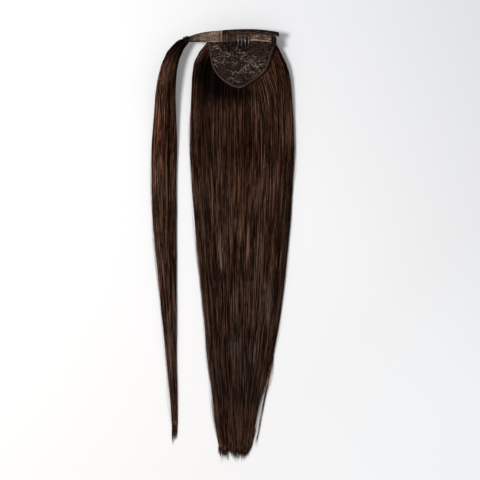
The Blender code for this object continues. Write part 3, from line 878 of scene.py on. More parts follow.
def lay_strands(form, steps, ends, across, over, inset, shape, rng):
    """Centrelines and width directions of strands that lie along a body of hair.

    ends are the shares of its length where each strand ends, and shape gives the clumps:
    their number, how far they and single strands wander, how deep the gaps between them are
    and how far strands dive and rise.
    """
    count = len(across)
    share = evenly(steps) ** shape["crowd"]
    run = ends[:, None] * share
    clumps = shape["clumps"]
    clump = which(across, clumps)
    centre = middle_of(clump, clumps)
    wander = waves(clumps, share, (1.3, 2.7), rng)[clump]
    grow = soft_step(run, 0.02, 0.22)
    off = (across - centre)[:, None]
    pinch = 1 - shape["pinch"] * (0.5 + 0.5 * waves(clumps, share, (2, 3), rng)[clump])
    line = centre[:, None] + off * np.clip(pinch, 0.3, 1.25)
    line = line + wander * shape["clump_wander"] * grow
    line = line + waves(count, share, (1.5, 3.5, 6), rng) * shape["wander"] * grow
    spikes = shape["spikes"]
    spike = which(across, spikes)
    lean = rng.normal(0, 0.35 / spikes, spikes)[spike]
    target = (middle_of(spike, spikes) + lean)[:, None]
    fray = rng.normal(0, shape["fray"], (count, 1))
    gather = soft_step(run, shape["gather"], 1.0)
    line = line + (shape["pull"] * (target - line) + fray) * gather
    line = np.minimum(line, 1 - shape["trim"] * window(run, 0.80, 0.88, 0.95, 0.99))
    bulge = np.abs(off * clumps) ** 2.2
    depth = inset[:, None] + shape["groove"] * bulge
    depth = depth + shape["dive"] * waves(count, share, (2, 4, 7), rng)
    depth = np.maximum(depth, shape["proud"])
    points = on_shell(form, run, line, over, depth)
    points[..., 2] = np.maximum(points[..., 2], LEAST_HEIGHT)
    ahead = on_shell(form, run, line + SIDE_STEP, over, depth)
    back = on_shell(form, run, line - SIDE_STEP, over, depth)
    return run, line, points, unit(ahead - back)


def rolled(points, side, roll):
    """Width directions turned about the strands by roll, in radians."""
    way = unit(np.gradient(points, axis=1))
    normal = unit(np.cross(way, side))
    return side * np.cos(roll)[..., None] + normal * np.sin(roll)[..., None]


def tapered(count, steps, width, rng):
    """Widths of strands that narrow to their tips."""
    thin = 1 - (1 - TIP_WIDTH) * soft_step(evenly(steps), 0.82, 1.0)
    return width * rng.uniform(0.6, 1.35, (count, 1)) * thin


def down_map(run):
    """The map's upward coordinate, from the root's 1 to the tips' 0, kept off its edges."""
    return 1 - run * (1 - 2 * MAP_EDGE) - MAP_EDGE


def tail_shade(points, line):
    """How dark the tail's hair is by place, with its painted shade and painted highlights: 0 is black and 1
    its usual tone.
    """
    px, py = in_pixels(points[..., 0], points[..., 1])
    shade = TAIL_TONE
    for *place, amount in TAIL_SHADE_AND_TONE_SPOTS:
        shade = shade * (1 + amount * blob(px, py, *place))
    for side, start, full, rows, amount in TAIL_PAINTED_LIT_RIMS:
        shade = shade * (1 + amount * soft_step(side * line, start, full) * window(py, *rows))
    return np.clip(shade, *SHADE_LIMITS)


def strand_shade(points, line):
    """How dark the wrap strand's hair is by place: darker at its root, with painted shade in its groove and
    painted light on the left of its upper part and painted shade on its right.
    """
    py = in_pixels(points[..., 0], points[..., 1])[1]
    root = 1 - 0.95 * (1 - soft_step(py, *ROOT_DARK))
    # Painted shade in the groove along the strand
    groove = 1 - 0.70 * bell(line, GROOVE_PLACE, 0.13) * soft_step(py, *GROOVE_START)
    upper = 1 - soft_step(py, *LIT_UPPER)
    # Painted light on the left side of the upper part and painted shade on its right
    edge = 1 + upper * (0.45 - 0.75 * soft_step(line, -0.2, 0.9))
    return np.clip(root * groove * edge * STRAND_TONE, *SHADE_LIMITS)


def even_shade(points, line):
    """The usual tone everywhere."""
    return np.ones_like(line)


def hair_piece(name, data, width, finish, rng, shade_at):
    """One piece of many strands, with their tone, shade and map."""
    run, line, points, side, across, tone = data
    count, steps = run.shape
    turn = rng.normal(0, ROLL, (count, 1))
    turn = turn + 0.25 * waves(count, evenly(steps), (2, 5), rng)
    side = rolled(points, side, turn)
    place = (across[:, None] + 1) / 2 + rng.uniform(-MAP_JITTER, MAP_JITTER, (count, 1))
    uv = stacked(np.clip(place, MAP_EDGE, 1 - MAP_EDGE), down_map(run))
    floats = {"tone": np.broadcast_to(tone[:, None], run.shape), "shade": shade_at(points, line)}
    piece = ribbons(name, points, side, tapered(count, steps, width, rng), finish, floats, uv)


def build_layers(layers, form, shape, ends_and_insets, shade_at, finish):
    """Layers of strands along a body of hair, each its own piece."""
    for name, seed, count, steps, even, shallow, deep, over, tones, light, width in layers:
        rng = np.random.default_rng(seed)
        if even < 1:
            chosen = rng.random(count) < even
            across = np.where(chosen, rng.uniform(-1, 1, count), np.cos(rng.uniform(0, np.pi, count)))
        else:
            across = rng.uniform(-1, 1, count)
        ends, inset = ends_and_insets(across, shallow, deep, over, rng)
        run, line, points, side = lay_strands(form, steps, ends, across, over, inset, shape, rng)
        tone = rng.normal(0, tones, count)
        if light:
            tone = tone + LIGHT_TONE * (rng.random(count) < light)
        hair_piece(name, (run, line, points, side, across, tone), width, finish, rng, shade_at)


# Where the tail's strands end, by their place across it
TAIL_TIPS = table(
    "across end",
    (-1.00, 0.984),
    (-0.90, 0.993),
    (-0.75, 0.994),
    (-0.60, 0.992),
    (-0.51, 0.981),
    (-0.43, 0.990),
    (-0.30, 0.998),
    (-0.10, 0.994),
    (0.10, 0.989),
    (0.40, 0.991),
    (0.70, 0.986),
    (1.00, 0.974),
)


def tail_ends_and_insets(across, shallow, deep, over, rng):
    """Single strands of the tail end in ragged spikes, and some are shorter."""
    count, spikes = len(across), TAIL_SHAPE["spikes"]
    inset = rng.uniform(shallow, deep, count)
    ragged = rng_of("tail_spikes").normal(0, 0.003, spikes)
    ends = np.interp(across, TAIL_TIPS["across"], TAIL_TIPS["end"]) + ragged[which(across, spikes)]
    ends = ends - 0.008 - rng.exponential(0.011, count)
    short = rng.random(count) < SHORT_SHARE
    return np.clip(np.where(short, rng.uniform(0.72, 0.97, count), ends), 0.5, 1.003), inset


def strand_ends_and_insets(across, shallow, deep, over, rng):
    """Strands of the wrap strand end in a small fan. Its upper side has a groove along it."""
    count = len(across)
    ends = np.clip(0.978 - 0.01 * np.abs(across) - rng.exponential(0.016, count), 0.5, 1.0)
    if over == BELOW:
        return ends, rng.uniform(shallow, deep, count)
    short = rng.random(count) < SHORT_SHARE
    ends = np.where(short, rng.uniform(0.7, 0.96, count), ends)
    return ends, rng.uniform(shallow, deep, count) + 0.0022 * bell(across, GROOVE_PLACE, 0.09)


# Locks in the fan lightened with painted highlights: their places along the net's edge, how far they swing
# out and their length
FAN_HIGHLIGHT_LOCKS = table(
    "place swing reach",
    (0.06, 0.16, 0.075),
    (0.24, 0.17, 0.115),
    (0.36, 0.19, 0.070),
    (0.52, 0.16, 0.100),
    (0.66, 0.15, 0.085),
    (0.84, 0.11, 0.060),
    (0.95, 0.08, 0.110),
)


def build_fan(finish):
    """Strands that fan out from under the net's lower right edge, with a few locks lightened as painted
    highlights.
    """
    form = tail_form()
    rng = rng_of("fan")
    count, steps = FAN_COUNT, 16
    light = rng.random(count) < FAN_HIGHLIGHT_SHARE
    lock = rng.integers(0, len(FAN_HIGHLIGHT_LOCKS["place"]), count)
    loose = np.where(light, 0.12, 1.0)
    place = np.where(light, FAN_HIGHLIGHT_LOCKS["place"][lock], rng.uniform(0, 1, count))
    swing = np.where(light, FAN_HIGHLIGHT_LOCKS["swing"][lock], rng.uniform(0.10, 0.19, count))
    reach = np.where(light, FAN_HIGHLIGHT_LOCKS["reach"][lock], rng.uniform(0.04, 0.15, count))
    reach = reach * rng.uniform(0.75, 1.1, count)
    start = 0.070 + 0.040 * place + 0.004 * loose * rng.normal(0, 1, count)
    first = 0.57 - 0.40 * place + 0.02 * loose * rng.normal(0, 1, count)
    share = evenly(steps)
    run = start[:, None] + reach[:, None] * share
    bend = 1 - (1 - np.clip((run - start[:, None]) / 0.09, 0, 1)) ** 2.4
    across = first[:, None] + swing[:, None] * bend
    across = across + 0.005 * loose[:, None] * waves(count, share, (1, 2), rng)
    depth = 0.0002 - 0.0007 * np.sin(np.pi * share) - 0.0002 * light[:, None]
    points = on_shell(form, run, across, ABOVE, depth)
    side = unit(on_shell(form, run, across + SIDE_STEP, ABOVE, depth) - points)
    # The light locks carry a painted highlight in their tone
    tone = np.where(light, rng.uniform(0.20, 0.42, count), rng.uniform(-0.13, 0.03, count))
    data = (run, across, points, side, first, tone)
    hair_piece("fan_strands", data, FAN_WIDTH, finish, rng, even_shade)


def build_root_thread(finish):
    """Dark thread wound round the wrap strand's root, where it meets the strap."""
    form = strand_form()
    steps = 22
    turn = np.linspace(0, 2 * np.pi, steps)
    over = np.where(np.cos(turn) >= 0, ABOVE, BELOW)
    loops = []
    for i in range(ROOT_THREAD_LOOPS):
        run = 0.0003 + ROOT_THREAD_PITCH * i + 0.0004 * np.sin(turn)
        swell = 0.0009 * math.cos((i - 2.5) / 6.5 * math.pi / 2)
        loops.append(on_shell(form, run, np.sin(turn), over, np.full(steps, -swell)))
    piece = tubes("root_thread", np.array(loops), ROOT_THREAD_RADIUS, 6, finish, -0.2)


def build_backing(name, form, size, finish, shade):
    """The dense hair inside, which the strands lie on, darkened by shade as painted shade between the
    strands.
    """
    run = np.linspace(0.004, BACKING_END, 70)
    turn = np.linspace(0, 2 * np.pi, 36, endpoint=False)
    across = np.sign(np.cos(turn)) * np.abs(np.cos(turn)) ** (2 / ROUNDNESS)
    over = np.where(np.sin(turn) >= 0, ABOVE, BELOW)
    f = at(form, run)
    inset = np.minimum(size, (f["crown"] - f["low"]) * 0.3)[:, None]
    points = on_shell(form, run[:, None], across[None, :], over[None, :], inset)
    index = np.arange(len(run) * len(turn)).reshape(len(run), len(turn))
    uv = stacked((across[None, :] + 1) / 2 * (1 - 2 * MAP_EDGE) + MAP_EDGE, down_map(run)[:, None])
    floats = {"tone": np.full(index.shape, -0.10), "shade": shade * tail_shade(points, across)}
    piece = mesh_of(name, points, closed_tube(index[::-1], 0), finish, floats, uv)
    return piece


def fine_hairs(name, lines, width, finish, tone, shade):
    """Single hairs along lines of (hairs, points, 3)."""
    lines = np.array(lines)
    count, steps = lines.shape[:2]
    side = unit(np.cross(np.gradient(lines, axis=1), np.array([0.0, 0.0, 1.0])))
    share = evenly(steps)[None, :]
    wide = width * (1 - 0.7 * soft_step(share, 0.7, 1.0)) * np.ones((count, 1))
    uv = stacked(np.full((count, steps), 0.5), 1 - share)
    floats = {
        "tone": np.broadcast_to(tone, (count, steps)),
        "shade": np.broadcast_to(shade, (count, steps)),
    }
    piece = ribbons(name, lines, side, wide, finish, floats, uv)


def build_flyaways(finish):
    """Loose single hairs beside the tail and the wrap strand."""
    rng = rng_of("loose_hairs")
    lines = []
    tail, strand = tail_form(), strand_form()
    share = evenly(16)
    for form, count, lowest in ((tail, 84, 0.15), (strand, 30, 0.2)):
        for _ in range(count):
            side = rng.choice((-1, 1))
            start = rng.uniform(lowest, 0.85)
            end = min(start + rng.uniform(0.06, 0.30), 0.995)
            run = start + (end - start) * share
            reach = abs(rng.normal(0, 0.0013)) + 0.0003
            beyond = -0.0010 + (reach + 0.0010) * np.sin(np.pi * share**0.8) ** 1.2
            beyond = beyond + rng.normal(0, 0.0002)
            f = at(form, run)
            height = f["edge"] + 0.0010 + 0.0008 * np.sin(5 * share)
            away = side * ((f["right"] if side > 0 else f["left"]) + beyond)
            lines.append(stacked(*beside(f, away), height))
    f = at(tail, 0.745 + 0.10 * share)
    for _ in range(18):
        bow = rng.uniform(0.002, 0.0058) * np.sin(np.pi * share * rng.uniform(0.6, 1.0))
        lines.append(stacked(f["x"] + f["right"] - 0.001 + bow, f["y"] + rng.normal(0, 0.006), 0.0016))
    fine_hairs("loose_hairs", lines, LOOSE_WIDTH, finish, 0.02, 0.9)


# The middle of the lock that lies apart, in pixels
WISP = table(
    "px py",
    (270.4, 364),
    (269.0, 376),
    (266.9, 388),
    (264.6, 399),
    (262.6, 409),
    (260.6, 419),
    (258.6, 430),
    (256.4, 440),
    (254.4, 448),
)


def build_wisp(finish):
    """The thin lock that lies apart at the right of the tips."""
    rng = rng_of("wisp")
    rows = spread(WISP, 200)
    grid = evenly(200)
    share = evenly(22)
    lines = []
    for _ in range(WISP_HAIRS):
        place = share * np.clip(rng.normal(0.93, 0.05), 0.6, 1.0)
        x, y = from_pixels(np.interp(place, grid, rows["px"]), np.interp(place, grid, rows["py"]))
        off = rng.normal(0, 0.0005) + 0.0004 * np.sin(rng.uniform(0, 6) + 4 * share)
        fray = rng.normal(0, 0.0016) * soft_step(place, 0.75, 1.0)
        lines.append(stacked(x + off + fray, y, 0.0009 + 0.0016 * rng.random()))
    fine_hairs("side_wisp", lines, WISP_WIDTH, finish, 0.10, 1.4)


def build_tips(finish):
    """Frayed ends of the tail and of the wrap strand: single hairs past the dense mass."""
    rng = rng_of("tips")
    share = evenly(10)
    lines = []
    for form, count, tufts, low, mean, fan in (
        (tail_form(), 950, 42, 0.940, 0.9885, 0.0022),
        (strand_form(), 170, 5, 0.900, 0.988, 0.0006),
    ):
        tuft_end = rng.normal(0, 0.0026, tufts)
        tuft_place = middle_of(np.arange(tufts), tufts) + rng.normal(0, 0.35 / tufts, tufts)
        for _ in range(count):
            across = rng.uniform(-0.99, 0.99)
            tuft = which(across, tufts)
            outline = np.interp(across, TAIL_TIPS["across"], TAIL_TIPS["end"]) - 0.99
            end = rng.normal(mean + outline + tuft_end[tuft], 0.0060)
            start = low + rng.uniform(-0.012, 0.012)
            run = start + (min(end, 1.012) - start) * share
            f = at(form, np.clip(run, 0, 1))
            reach = f["right"] if across > 0 else f["left"]
            gathered = across + 0.65 * (tuft_place[tuft] - across) * soft_step(run, 0.960, 0.998)
            away = gathered * (reach + fan * soft_step(run, 0.955, 0.995))
            away = away + rng.normal(0, 0.0004) * soft_step(share, 0.4, 1.0)
            full = (1 - abs(across) ** ROUNDNESS) ** (1 / ROUNDNESS)
            rise = full * (rng.uniform(0.1, 0.8) + 0.2 * share)
            height = f["low"] + 0.0003 + (f["crown"] - f["low"]) * rise
            x, y = beside(f, away)
            lines.append(stacked(x, y - np.maximum(run - 1, 0) * TAIL_LENGTH, height))
    tone = rng.normal(0.10, 0.09, (len(lines), 1))
    fine_hairs("frayed_tips", lines, FRAYED_WIDTH, finish, tone, 0.9)


def build_hair(finish, thread):
    """All the hair, with the dense backings that take the place of the two solids."""
    tail, strand = tail_form(), strand_form()
    piece = build_backing("tail_backing", tail, 0.0022, finish, 0.35)
    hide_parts("hair_tail")
    build_layers(TAIL_LAYERS, tail, TAIL_SHAPE, tail_ends_and_insets, tail_shade, finish)
    build_fan(finish)
    piece = build_backing("strand_backing", strand, 0.0017, finish, 0.30)
    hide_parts("wrap_strand")
    build_layers(STRAND_LAYERS, strand, STRAND_SHAPE, strand_ends_and_insets, strand_shade, finish)
    build_root_thread(thread)
    build_flyaways(finish)
    build_wisp(finish)
    build_tips(finish)


# Base
SOFT_EDGE = 0.0004
NET_INSET = 0.0011
ROW_RADIUS = 0.00024
EDGING_RADIUS = 0.00042
FUZZ_RADIUS = 0.00011
TOOTH_RADIUS = 0.0007
COMB_THREAD_RADIUS = 0.00016
COMB_THREAD_PITCH = 0.0007
FUZZ_COUNT = 800
BINDING_TURN = (0.50, 0.64)  # share of the net's edge where the fold moves in
LACE_INSET = 0.0032
LACE_COUNT = 1100

# Places in pixels: soft spots (middle, half sizes, amount), upright bars (place, width, amount)
ROW_PITCH = 2.1
SEWN_ROWS = (46.0, 87.5)
LACE_X = (208, 274)
LACE_Y = (44.5, 88)
CALM_CORNER = (249, 58)
# The darker net spot among the comb's teeth is painted shade
NET_SPOTS = ((259, 50, 16, 10, 0.15), (242, 44, 9, 6, -0.12), (238, 80, 22, 12, -0.06))
BAND_BARS = ((227.3, 0.9, 0.40), (224.3, 0.6, 0.30), (225.3, 0.8, -0.16), (229.2, 0.8, -0.16))
BAND_SPOTS = ((233, 38, 8, 5, 0.16),)
# Painted shade on the band between the comb's teeth, and the rows of pixels where it starts
BAND_PAINTED_SHADE = ((242.5, 43, 9, 6, -0.45),)
BAND_PAINTED_SHADE_ROWS = (40.0, 41.4)
FOLD_ROW = (40.1, 0.60)
FOLD_ENDS = (235.4, 236.6, 245.5, 247)
TAPE_SPOTS = ((238, 33, 14, 2.5, 0.14),)
STRAP_SPOTS = ((215, 37, 9, 6, 0.05),)
PUCKER_SPOTS = ((209, 42.0, 7, 3, 1.0),)
PAINTED_RIPPLE_LIGHT_SPOTS = ((209.5, 41.0, 9, 3.4, 1.0),)
PUCKER_PACE = 2.4
STRAP_SLANT = 2.6 / 6
HEM_LINE = (219.9, 0.5)
STRAP_ROOT = (188.8, 192)
STRAP_LEFT = (190, 208)
STRAP_LOW_LEFT = (203, 212)

# Where more of the net's threads catch the light: places, half sizes and brightness, in pixels
LACE_SPOTS = (
    (217, 51, 13, 9, 0.60),
    (226, 57, 16, 11, 0.60),
    (220, 61, 12, 8, 0.55),
    (238, 55, 13, 8, 0.60),
    (239, 62, 12, 9, 0.45),
    (257, 62, 16, 10, 0.65),
    (247, 70, 14, 10, 0.70),
    (237, 77, 14, 10, 0.40),
    (234, 84, 12, 7, 0.35),
    (258, 73, 10, 10, 0.50),
)
LACE_LEAST = 0.05

# Seams: pitch and length of their stitches, tone, radius of the thread and sway to the sides
SEAMS = {
    "binding_stitches": (0.0024, 0.0015, 0.45, 0.00014, 0.0),
    "tape_stitches": (0.0023, 0.0014, 0.42, 0.00020, 0.0),
    "hook_stitches": (0.0022, 0.0015, 0.62, 0.00014, 0.0),
    "strap_stitches": (0.0021, 0.0016, 0.85, 0.00026, 0.0003),
    "comb_zigzag": (0.0013, 0.0015, 0.60, 0.00018, 0.0006),
    "slanting_seam": (0.0014, 0.0015, 0.50, 0.00018, 0.0004),
}
# Both ends of the seams on the net, in pixels
NET_SEAMS = (
    ("comb_zigzag", (235.5, 245.5), (52.6, 52.9)),
    ("slanting_seam", (245.5, 250.0), (53.0, 57.5)),
)

# Each tooth's painted light and shade: its tone, its painted glint, how much painted shade darkens it
# towards its tip and from where
TOOTH_PAINTED_LIGHT = (
    (-0.05, 0.0, 0.90, 0.30),
    (-0.15, 0.0, 0.90, 0.30),
    (-0.15, 0.0, 0.90, 0.30),
    (0.21, 0.20, 0.60, 0.44),
    (0.21, 0.05, 0.60, 0.44),
    (0.21, 0.45, 0.60, 0.44),
    (0.21, 0.15, 0.60, 0.44),
)


def band_top(x, inset=0.0):
    """The band's curved top edge."""
    crown = BASE_X + CROWN_SHIFT
    left = (crown - x) / (crown - BASE_LEFT_X)
    right = (x - crown) / (BASE_RIGHT_X - crown)
    return TOP_Y - inset - np.where(x < crown, LEFT_FALL * left**2, RIGHT_FALL * right**2)


def edge_at(inset):
    """An edge that follows the band's top edge this far below it."""
    return lambda x: band_top(x, inset)


def level_at(y):
    """A level edge at y."""
    return lambda x: np.full_like(x, y)


def net_path(inset, steps=161):
    """The net's edge from its top left round to its top right, moved in by inset."""
    rows = spread(NET_EDGE, steps)
    x = BASE_X + rows["across"] * BASE_WIDTH / 2
    y = BAND_LOW_Y - rows["down"] * NET_DROP
    way = unit(stacked(np.gradient(x), np.gradient(y)))
    return stacked(x - way[:, 1] * inset, y + way[:, 0] * inset)


def net_sides(y, inset):
    """The net's left and right edges at heights y."""
    path = net_path(inset, 401)
    lowest = int(np.argmin(path[:, 1]))
    left, right = path[: lowest + 1][::-1], path[lowest:]
    return np.interp(y, left[:, 1], left[:, 0]), np.interp(y, right[:, 1], right[:, 0])


def net_height(x, y):
    """The net's upper surface: sewn rows, with the cloth a little slack between them."""
    px, py = in_pixels(x, y)
    rows = 0.5 + 0.5 * np.cos(2 * np.pi * (py + 0.35 * np.sin(px * 0.35)) / ROW_PITCH)
    slack = mottle(px, py, 5.0, 4.0, "net_slack")
    fine = mottle(px, py, 1.3, 1.3, "net_fine")
    return NET_TOP - 0.0002 + 0.00022 * rows + 0.00040 * slack + 0.00018 * fine


def build_net(finish):
    """The net's cloth, which runs on under the band as the CAD net does."""
    shown = np.linspace(NET_LOW_Y + NET_INSET + 0.0004, BAND_LOW_Y, 84)
    y = np.concatenate([shown, np.linspace(BAND_LOW_Y, TOP_Y - 0.0045, 8)[1:]])
    left, right = net_sides(np.minimum(y, BAND_LOW_Y), NET_INSET)
    x = left[:, None] + (right - left)[:, None] * evenly(96)
    y = np.broadcast_to(y[:, None], x.shape)
    surface = np.minimum(net_height(x, y), BAND_Z - 0.00005)
    top = stacked(x, y, np.where(y > BAND_LOW_Y - 0.0008, NET_TOP - 0.0001, surface))
    px, py = in_pixels(x, y)
    tone = 0.85 * mottle(px, py, 1.2, 0.8, "net_tone") + spots(px, py, NET_SPOTS)
    piece = slab("net_cloth", top, stacked(x, y, NET_Z), finish, tone)
    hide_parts("base_net")


def lace_brightness(px, py):
    """The share of light threads at a place."""
    return float(max(LACE_LEAST, *(bright * blob(px, py, *place) for *place, bright in LACE_SPOTS)))


def lace_curl(px, py, rng):
    """One short curled thread of the net: its path, its tone and its radius."""
    steps = 9
    share = np.linspace(-0.5, 0.5, steps)
    x, y = from_pixels(px, py)
    bright = lace_brightness(px, py)
    calm = px > CALM_CORNER[0] and py < CALM_CORNER[1]
    light = rng.random() < bright * 0.72
    length = rng.uniform(0.0026, 0.0066)
    angle = rng.normal(0, 0.30) if calm or rng.random() < 0.62 else rng.uniform(0, np.pi)
    curl = rng.normal(0, 0.6 if calm else 2.0)
    wiggle = rng.uniform(0.5, 1.3) * np.sin(rng.uniform(0, 6) + rng.uniform(7, 12) * share)
    heading = angle + curl * share * 1.5 + wiggle
    dx = np.cumsum(np.cos(heading)) * length / steps
    dy = np.cumsum(np.sin(heading)) * length / steps
    x, y = x + dx - dx.mean(), y + dy - dy.mean()
    lift = 0.00012 + 0.00035 * np.cos(np.pi * share) * rng.uniform(0.3, 1.0)
    path = stacked(x, y, net_height(x, y) + lift)
    dull = rng.uniform(0.12, 0.30) if rng.random() < 0.25 + 0.4 * bright else rng.uniform(-0.3, 0.0)
    if light:
        return path, rng.uniform(0.30, 0.78), rng.uniform(0.00014, 0.00026)
    return path, dull, rng.uniform(0.00018, 0.00034)


def build_lace(finish):
    """Short curled threads of the net, and the level rows that the hair is sewn in."""
    rng = rng_of("lace")
    curls = []
    while len(curls) < LACE_COUNT:
        px, py = rng.uniform(*LACE_X), rng.uniform(*LACE_Y)
        x, y = from_pixels(px, py)
        left, right = net_sides(y, LACE_INSET)
        if left < x < right and y >= NET_LOW_Y + 0.0035:
            curls.append(lace_curl(px, py, rng))
    paths, tones, sizes = (np.array(column) for column in zip(*curls))
    piece = tubes("net_lace", paths, sizes[:, None], 4, finish, tones[:, None])
    rows, tones = [], []
    for i, py in enumerate(np.arange(*SEWN_ROWS, ROW_PITCH)):
        y = from_pixels(0, py)[1]
        left, right = net_sides(y, LACE_INSET)
        if right - left < 0.012:
            continue
        x = np.linspace(left, right, 90)
        y = y + 0.00025 * np.sin(x * 900 + i) + 0.0002 * rng.normal(0, 1, 90)
        rows.append(stacked(x, y, net_height(x, y) + 0.00012))
        tones.append(0.12 + 0.14 * rng.random())
    piece = tubes("sewn_rows", np.array(rows), ROW_RADIUS, 4, finish, np.array(tones)[:, None])


def swept(name, path, profile, finish, tone):
    """A closed profile of (inward, up) points carried along a level path of (x, y) points."""
    way = unit(np.gradient(path, axis=0))
    inward = stacked(-way[:, 1], way[:, 0])
    level = path[:, None] + inward[:, None] * profile[None, :, :1]
    points = stacked(level[..., 0], level[..., 1], profile[None, :, 1])
    steps, sides = points.shape[:2]
    index = np.arange(steps * sides).reshape(steps, sides)
    tones = np.broadcast_to(np.reshape(tone, (-1, 1)), (steps, sides))
    return mesh_of(name, points, closed_tube(index, -1), finish, {"tone": tones})


def oval(cx, cy, rx, ry, sides=14):
    """A soft-cornered oval as a profile."""
    turn = np.arange(sides) * 2 * np.pi / sides
    x = np.sign(np.cos(turn)) * np.abs(np.cos(turn)) ** 0.8
    y = np.sign(np.sin(turn)) * np.abs(np.sin(turn)) ** 0.8
    return stacked(cx + rx * x, cy + ry * y)


def stitches(name, path, height, finish):
    """A row of short sewn stitches along a path of (x, y) points."""
    pitch, length, tone, radius, sway = SEAMS[name]
    far = np.concatenate([[0], np.cumsum(np.linalg.norm(np.diff(path, axis=0), axis=1))])
    starts = np.arange(pitch / 2, far[-1] - length, pitch)
    share = evenly(5)
    place = starts[:, None] + length * share
    x, y = np.interp(place, far, path[:, 0]), np.interp(place, far, path[:, 1])
    turns = (np.arange(len(starts)) % 2 * 2 - 1)[:, None]
    y = y + sway * turns * (share - 0.5) * 2
    level = height(x, y) if callable(height) else height
    lines = stacked(x, y, level + 0.00018 * np.sin(np.pi * share))
    return tubes(name, lines, radius, 4, finish, tone)


def under_band(path):
    """The part of a path that is below the band."""
    return path[path[:, 1] < BAND_LOW_Y - FIT]


def build_binding(cloth, thread):
    """Tape folded round the net's edge, with a light fold and a line of stitches along it."""
    middle = NET_Z + NET_THICK / 2
    path = under_band(net_path(0.0, 201))
    right = soft_step(evenly(len(path)), *BINDING_TURN)
    profile = oval(BINDING_WIDTH * 0.45, middle, BINDING_WIDTH * 0.46, 0.0017)
    piece = swept("binding_tape", path, profile, cloth, -0.13 - 0.14 * right)
    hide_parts("edge_binding")
    inner = soft_step(evenly(201), *BINDING_TURN)[:, None]
    ridge = under_band(net_path(0.0008, 201) * (1 - inner) + net_path(0.0021, 201) * inner)
    piece = swept("binding_fold", ridge, oval(0.0, middle + 0.00165, 0.00045, 0.00035, 8), cloth, 0.26)
    line = net_path(0.0020, 401)
    piece = stitches("binding_stitches", line, middle + 0.0017, thread)


def strip(name, ends, edges, height, tone, thick, grid, finish):
    """A cloth strip between two curved edges, with soft rolled edges.

    ends are its left and right x, edges give the y of its upper and lower edges at x, height and
    tone those of its upper surface at (x, y), and grid its numbers of points.
    """
    left, right = ends
    x = np.linspace(left, right, grid[0])
    top_y, low_y = edges[0](x), edges[1](x)
    y = low_y + (top_y - low_y) * evenly(grid[1])[:, None]
    x = np.broadcast_to(x, y.shape)
    inside = np.minimum(np.minimum(y - low_y, top_y - y), np.minimum(x - left, right - x))
    short = 1 - np.clip(inside / (2.5 * SOFT_EDGE), 0, 1)
    roll = SOFT_EDGE * (1 - np.sqrt(np.clip(1 - short**2, 0, 1)))
    surface = height(x, y)
    bottom = stacked(x, y, surface.min() - thick + roll * 0.3)
    return slab(name, stacked(x, y, surface - roll), bottom, finish, tone(x, y))


def build_band(cloth, black):
    """The wide band, with light and dark upright bars, painted shade between the comb's teeth, and the dark
    edging along its top.
    """

    def height(x, y):
        px, py = in_pixels(x, y)
        ribs = 0.5 + 0.5 * np.cos(2 * np.pi * px / 1.1)
        return BAND_TOP - 0.00005 * ribs + 0.00008 * mottle(px, py, 4, 3, "band_rise")

    def tone(x, y):
        px, py = in_pixels(x, y)
        total = sum(amount * bell(px, *place) for *place, amount in BAND_BARS)
        # Painted shade between the comb's teeth
        total = total + soft_step(py, *BAND_PAINTED_SHADE_ROWS) * spots(px, py, BAND_PAINTED_SHADE)
        total = total + bell(py, *FOLD_ROW) * window(px, *FOLD_ENDS) + spots(px, py, BAND_SPOTS)
        return total + 0.48 * mottle(px, py, 1.2, 1.0, "band_tone")

    ends = (BASE_LEFT_X, BASE_RIGHT_X)
    edges = (edge_at(0.0005), level_at(BAND_LOW_Y))
    band = strip("band_cloth", ends, edges, height, tone, BAND_THICK, (150, 22), cloth)
    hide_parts("top_band")
    x = np.linspace(BASE_RIGHT_X + TAB_LENGTH * 0.9, BASE_LEFT_X + STRAP_LAP + FIT, 90)
    profile = oval(0.0, TAPE_TOP + 0.0001, 0.0006, 0.0005, 10)
    piece = swept("band_edging", stacked(x, band_top(x, 0.0004)), profile, black, -0.2)


def build_tape(cloth, thread):
    """The narrow tape along the band's top, whose end is the small tab, and its stitches."""
    ends = (BASE_LEFT_X + STRAP_LAP + FIT, BASE_RIGHT_X + TAB_LENGTH)

    def height(x, y):
        return TAPE_TOP - 0.0001 + 0.00014 * mottle(*in_pixels(x, y), 3, 2, "tape_rise")

    def tone(x, y):
        px, py = in_pixels(x, y)
        return -0.04 + spots(px, py, TAPE_SPOTS) + 0.62 * mottle(px, py, 1.3, 1.0, "tape_tone")

    edges = (edge_at(0.0002), edge_at(TAPE_HEIGHT))
    piece = strip("tape_cloth", ends, edges, height, tone, TAPE_THICK, (130, 10), cloth)
    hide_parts("top_tape")
    x = np.linspace(ends[0] + 0.001, ends[1] - 0.001, 200)
    line = stacked(x, band_top(x, TAPE_HEIGHT - 0.0009))
    piece = stitches("tape_stitches", line, TAPE_TOP - 0.00005, thread)


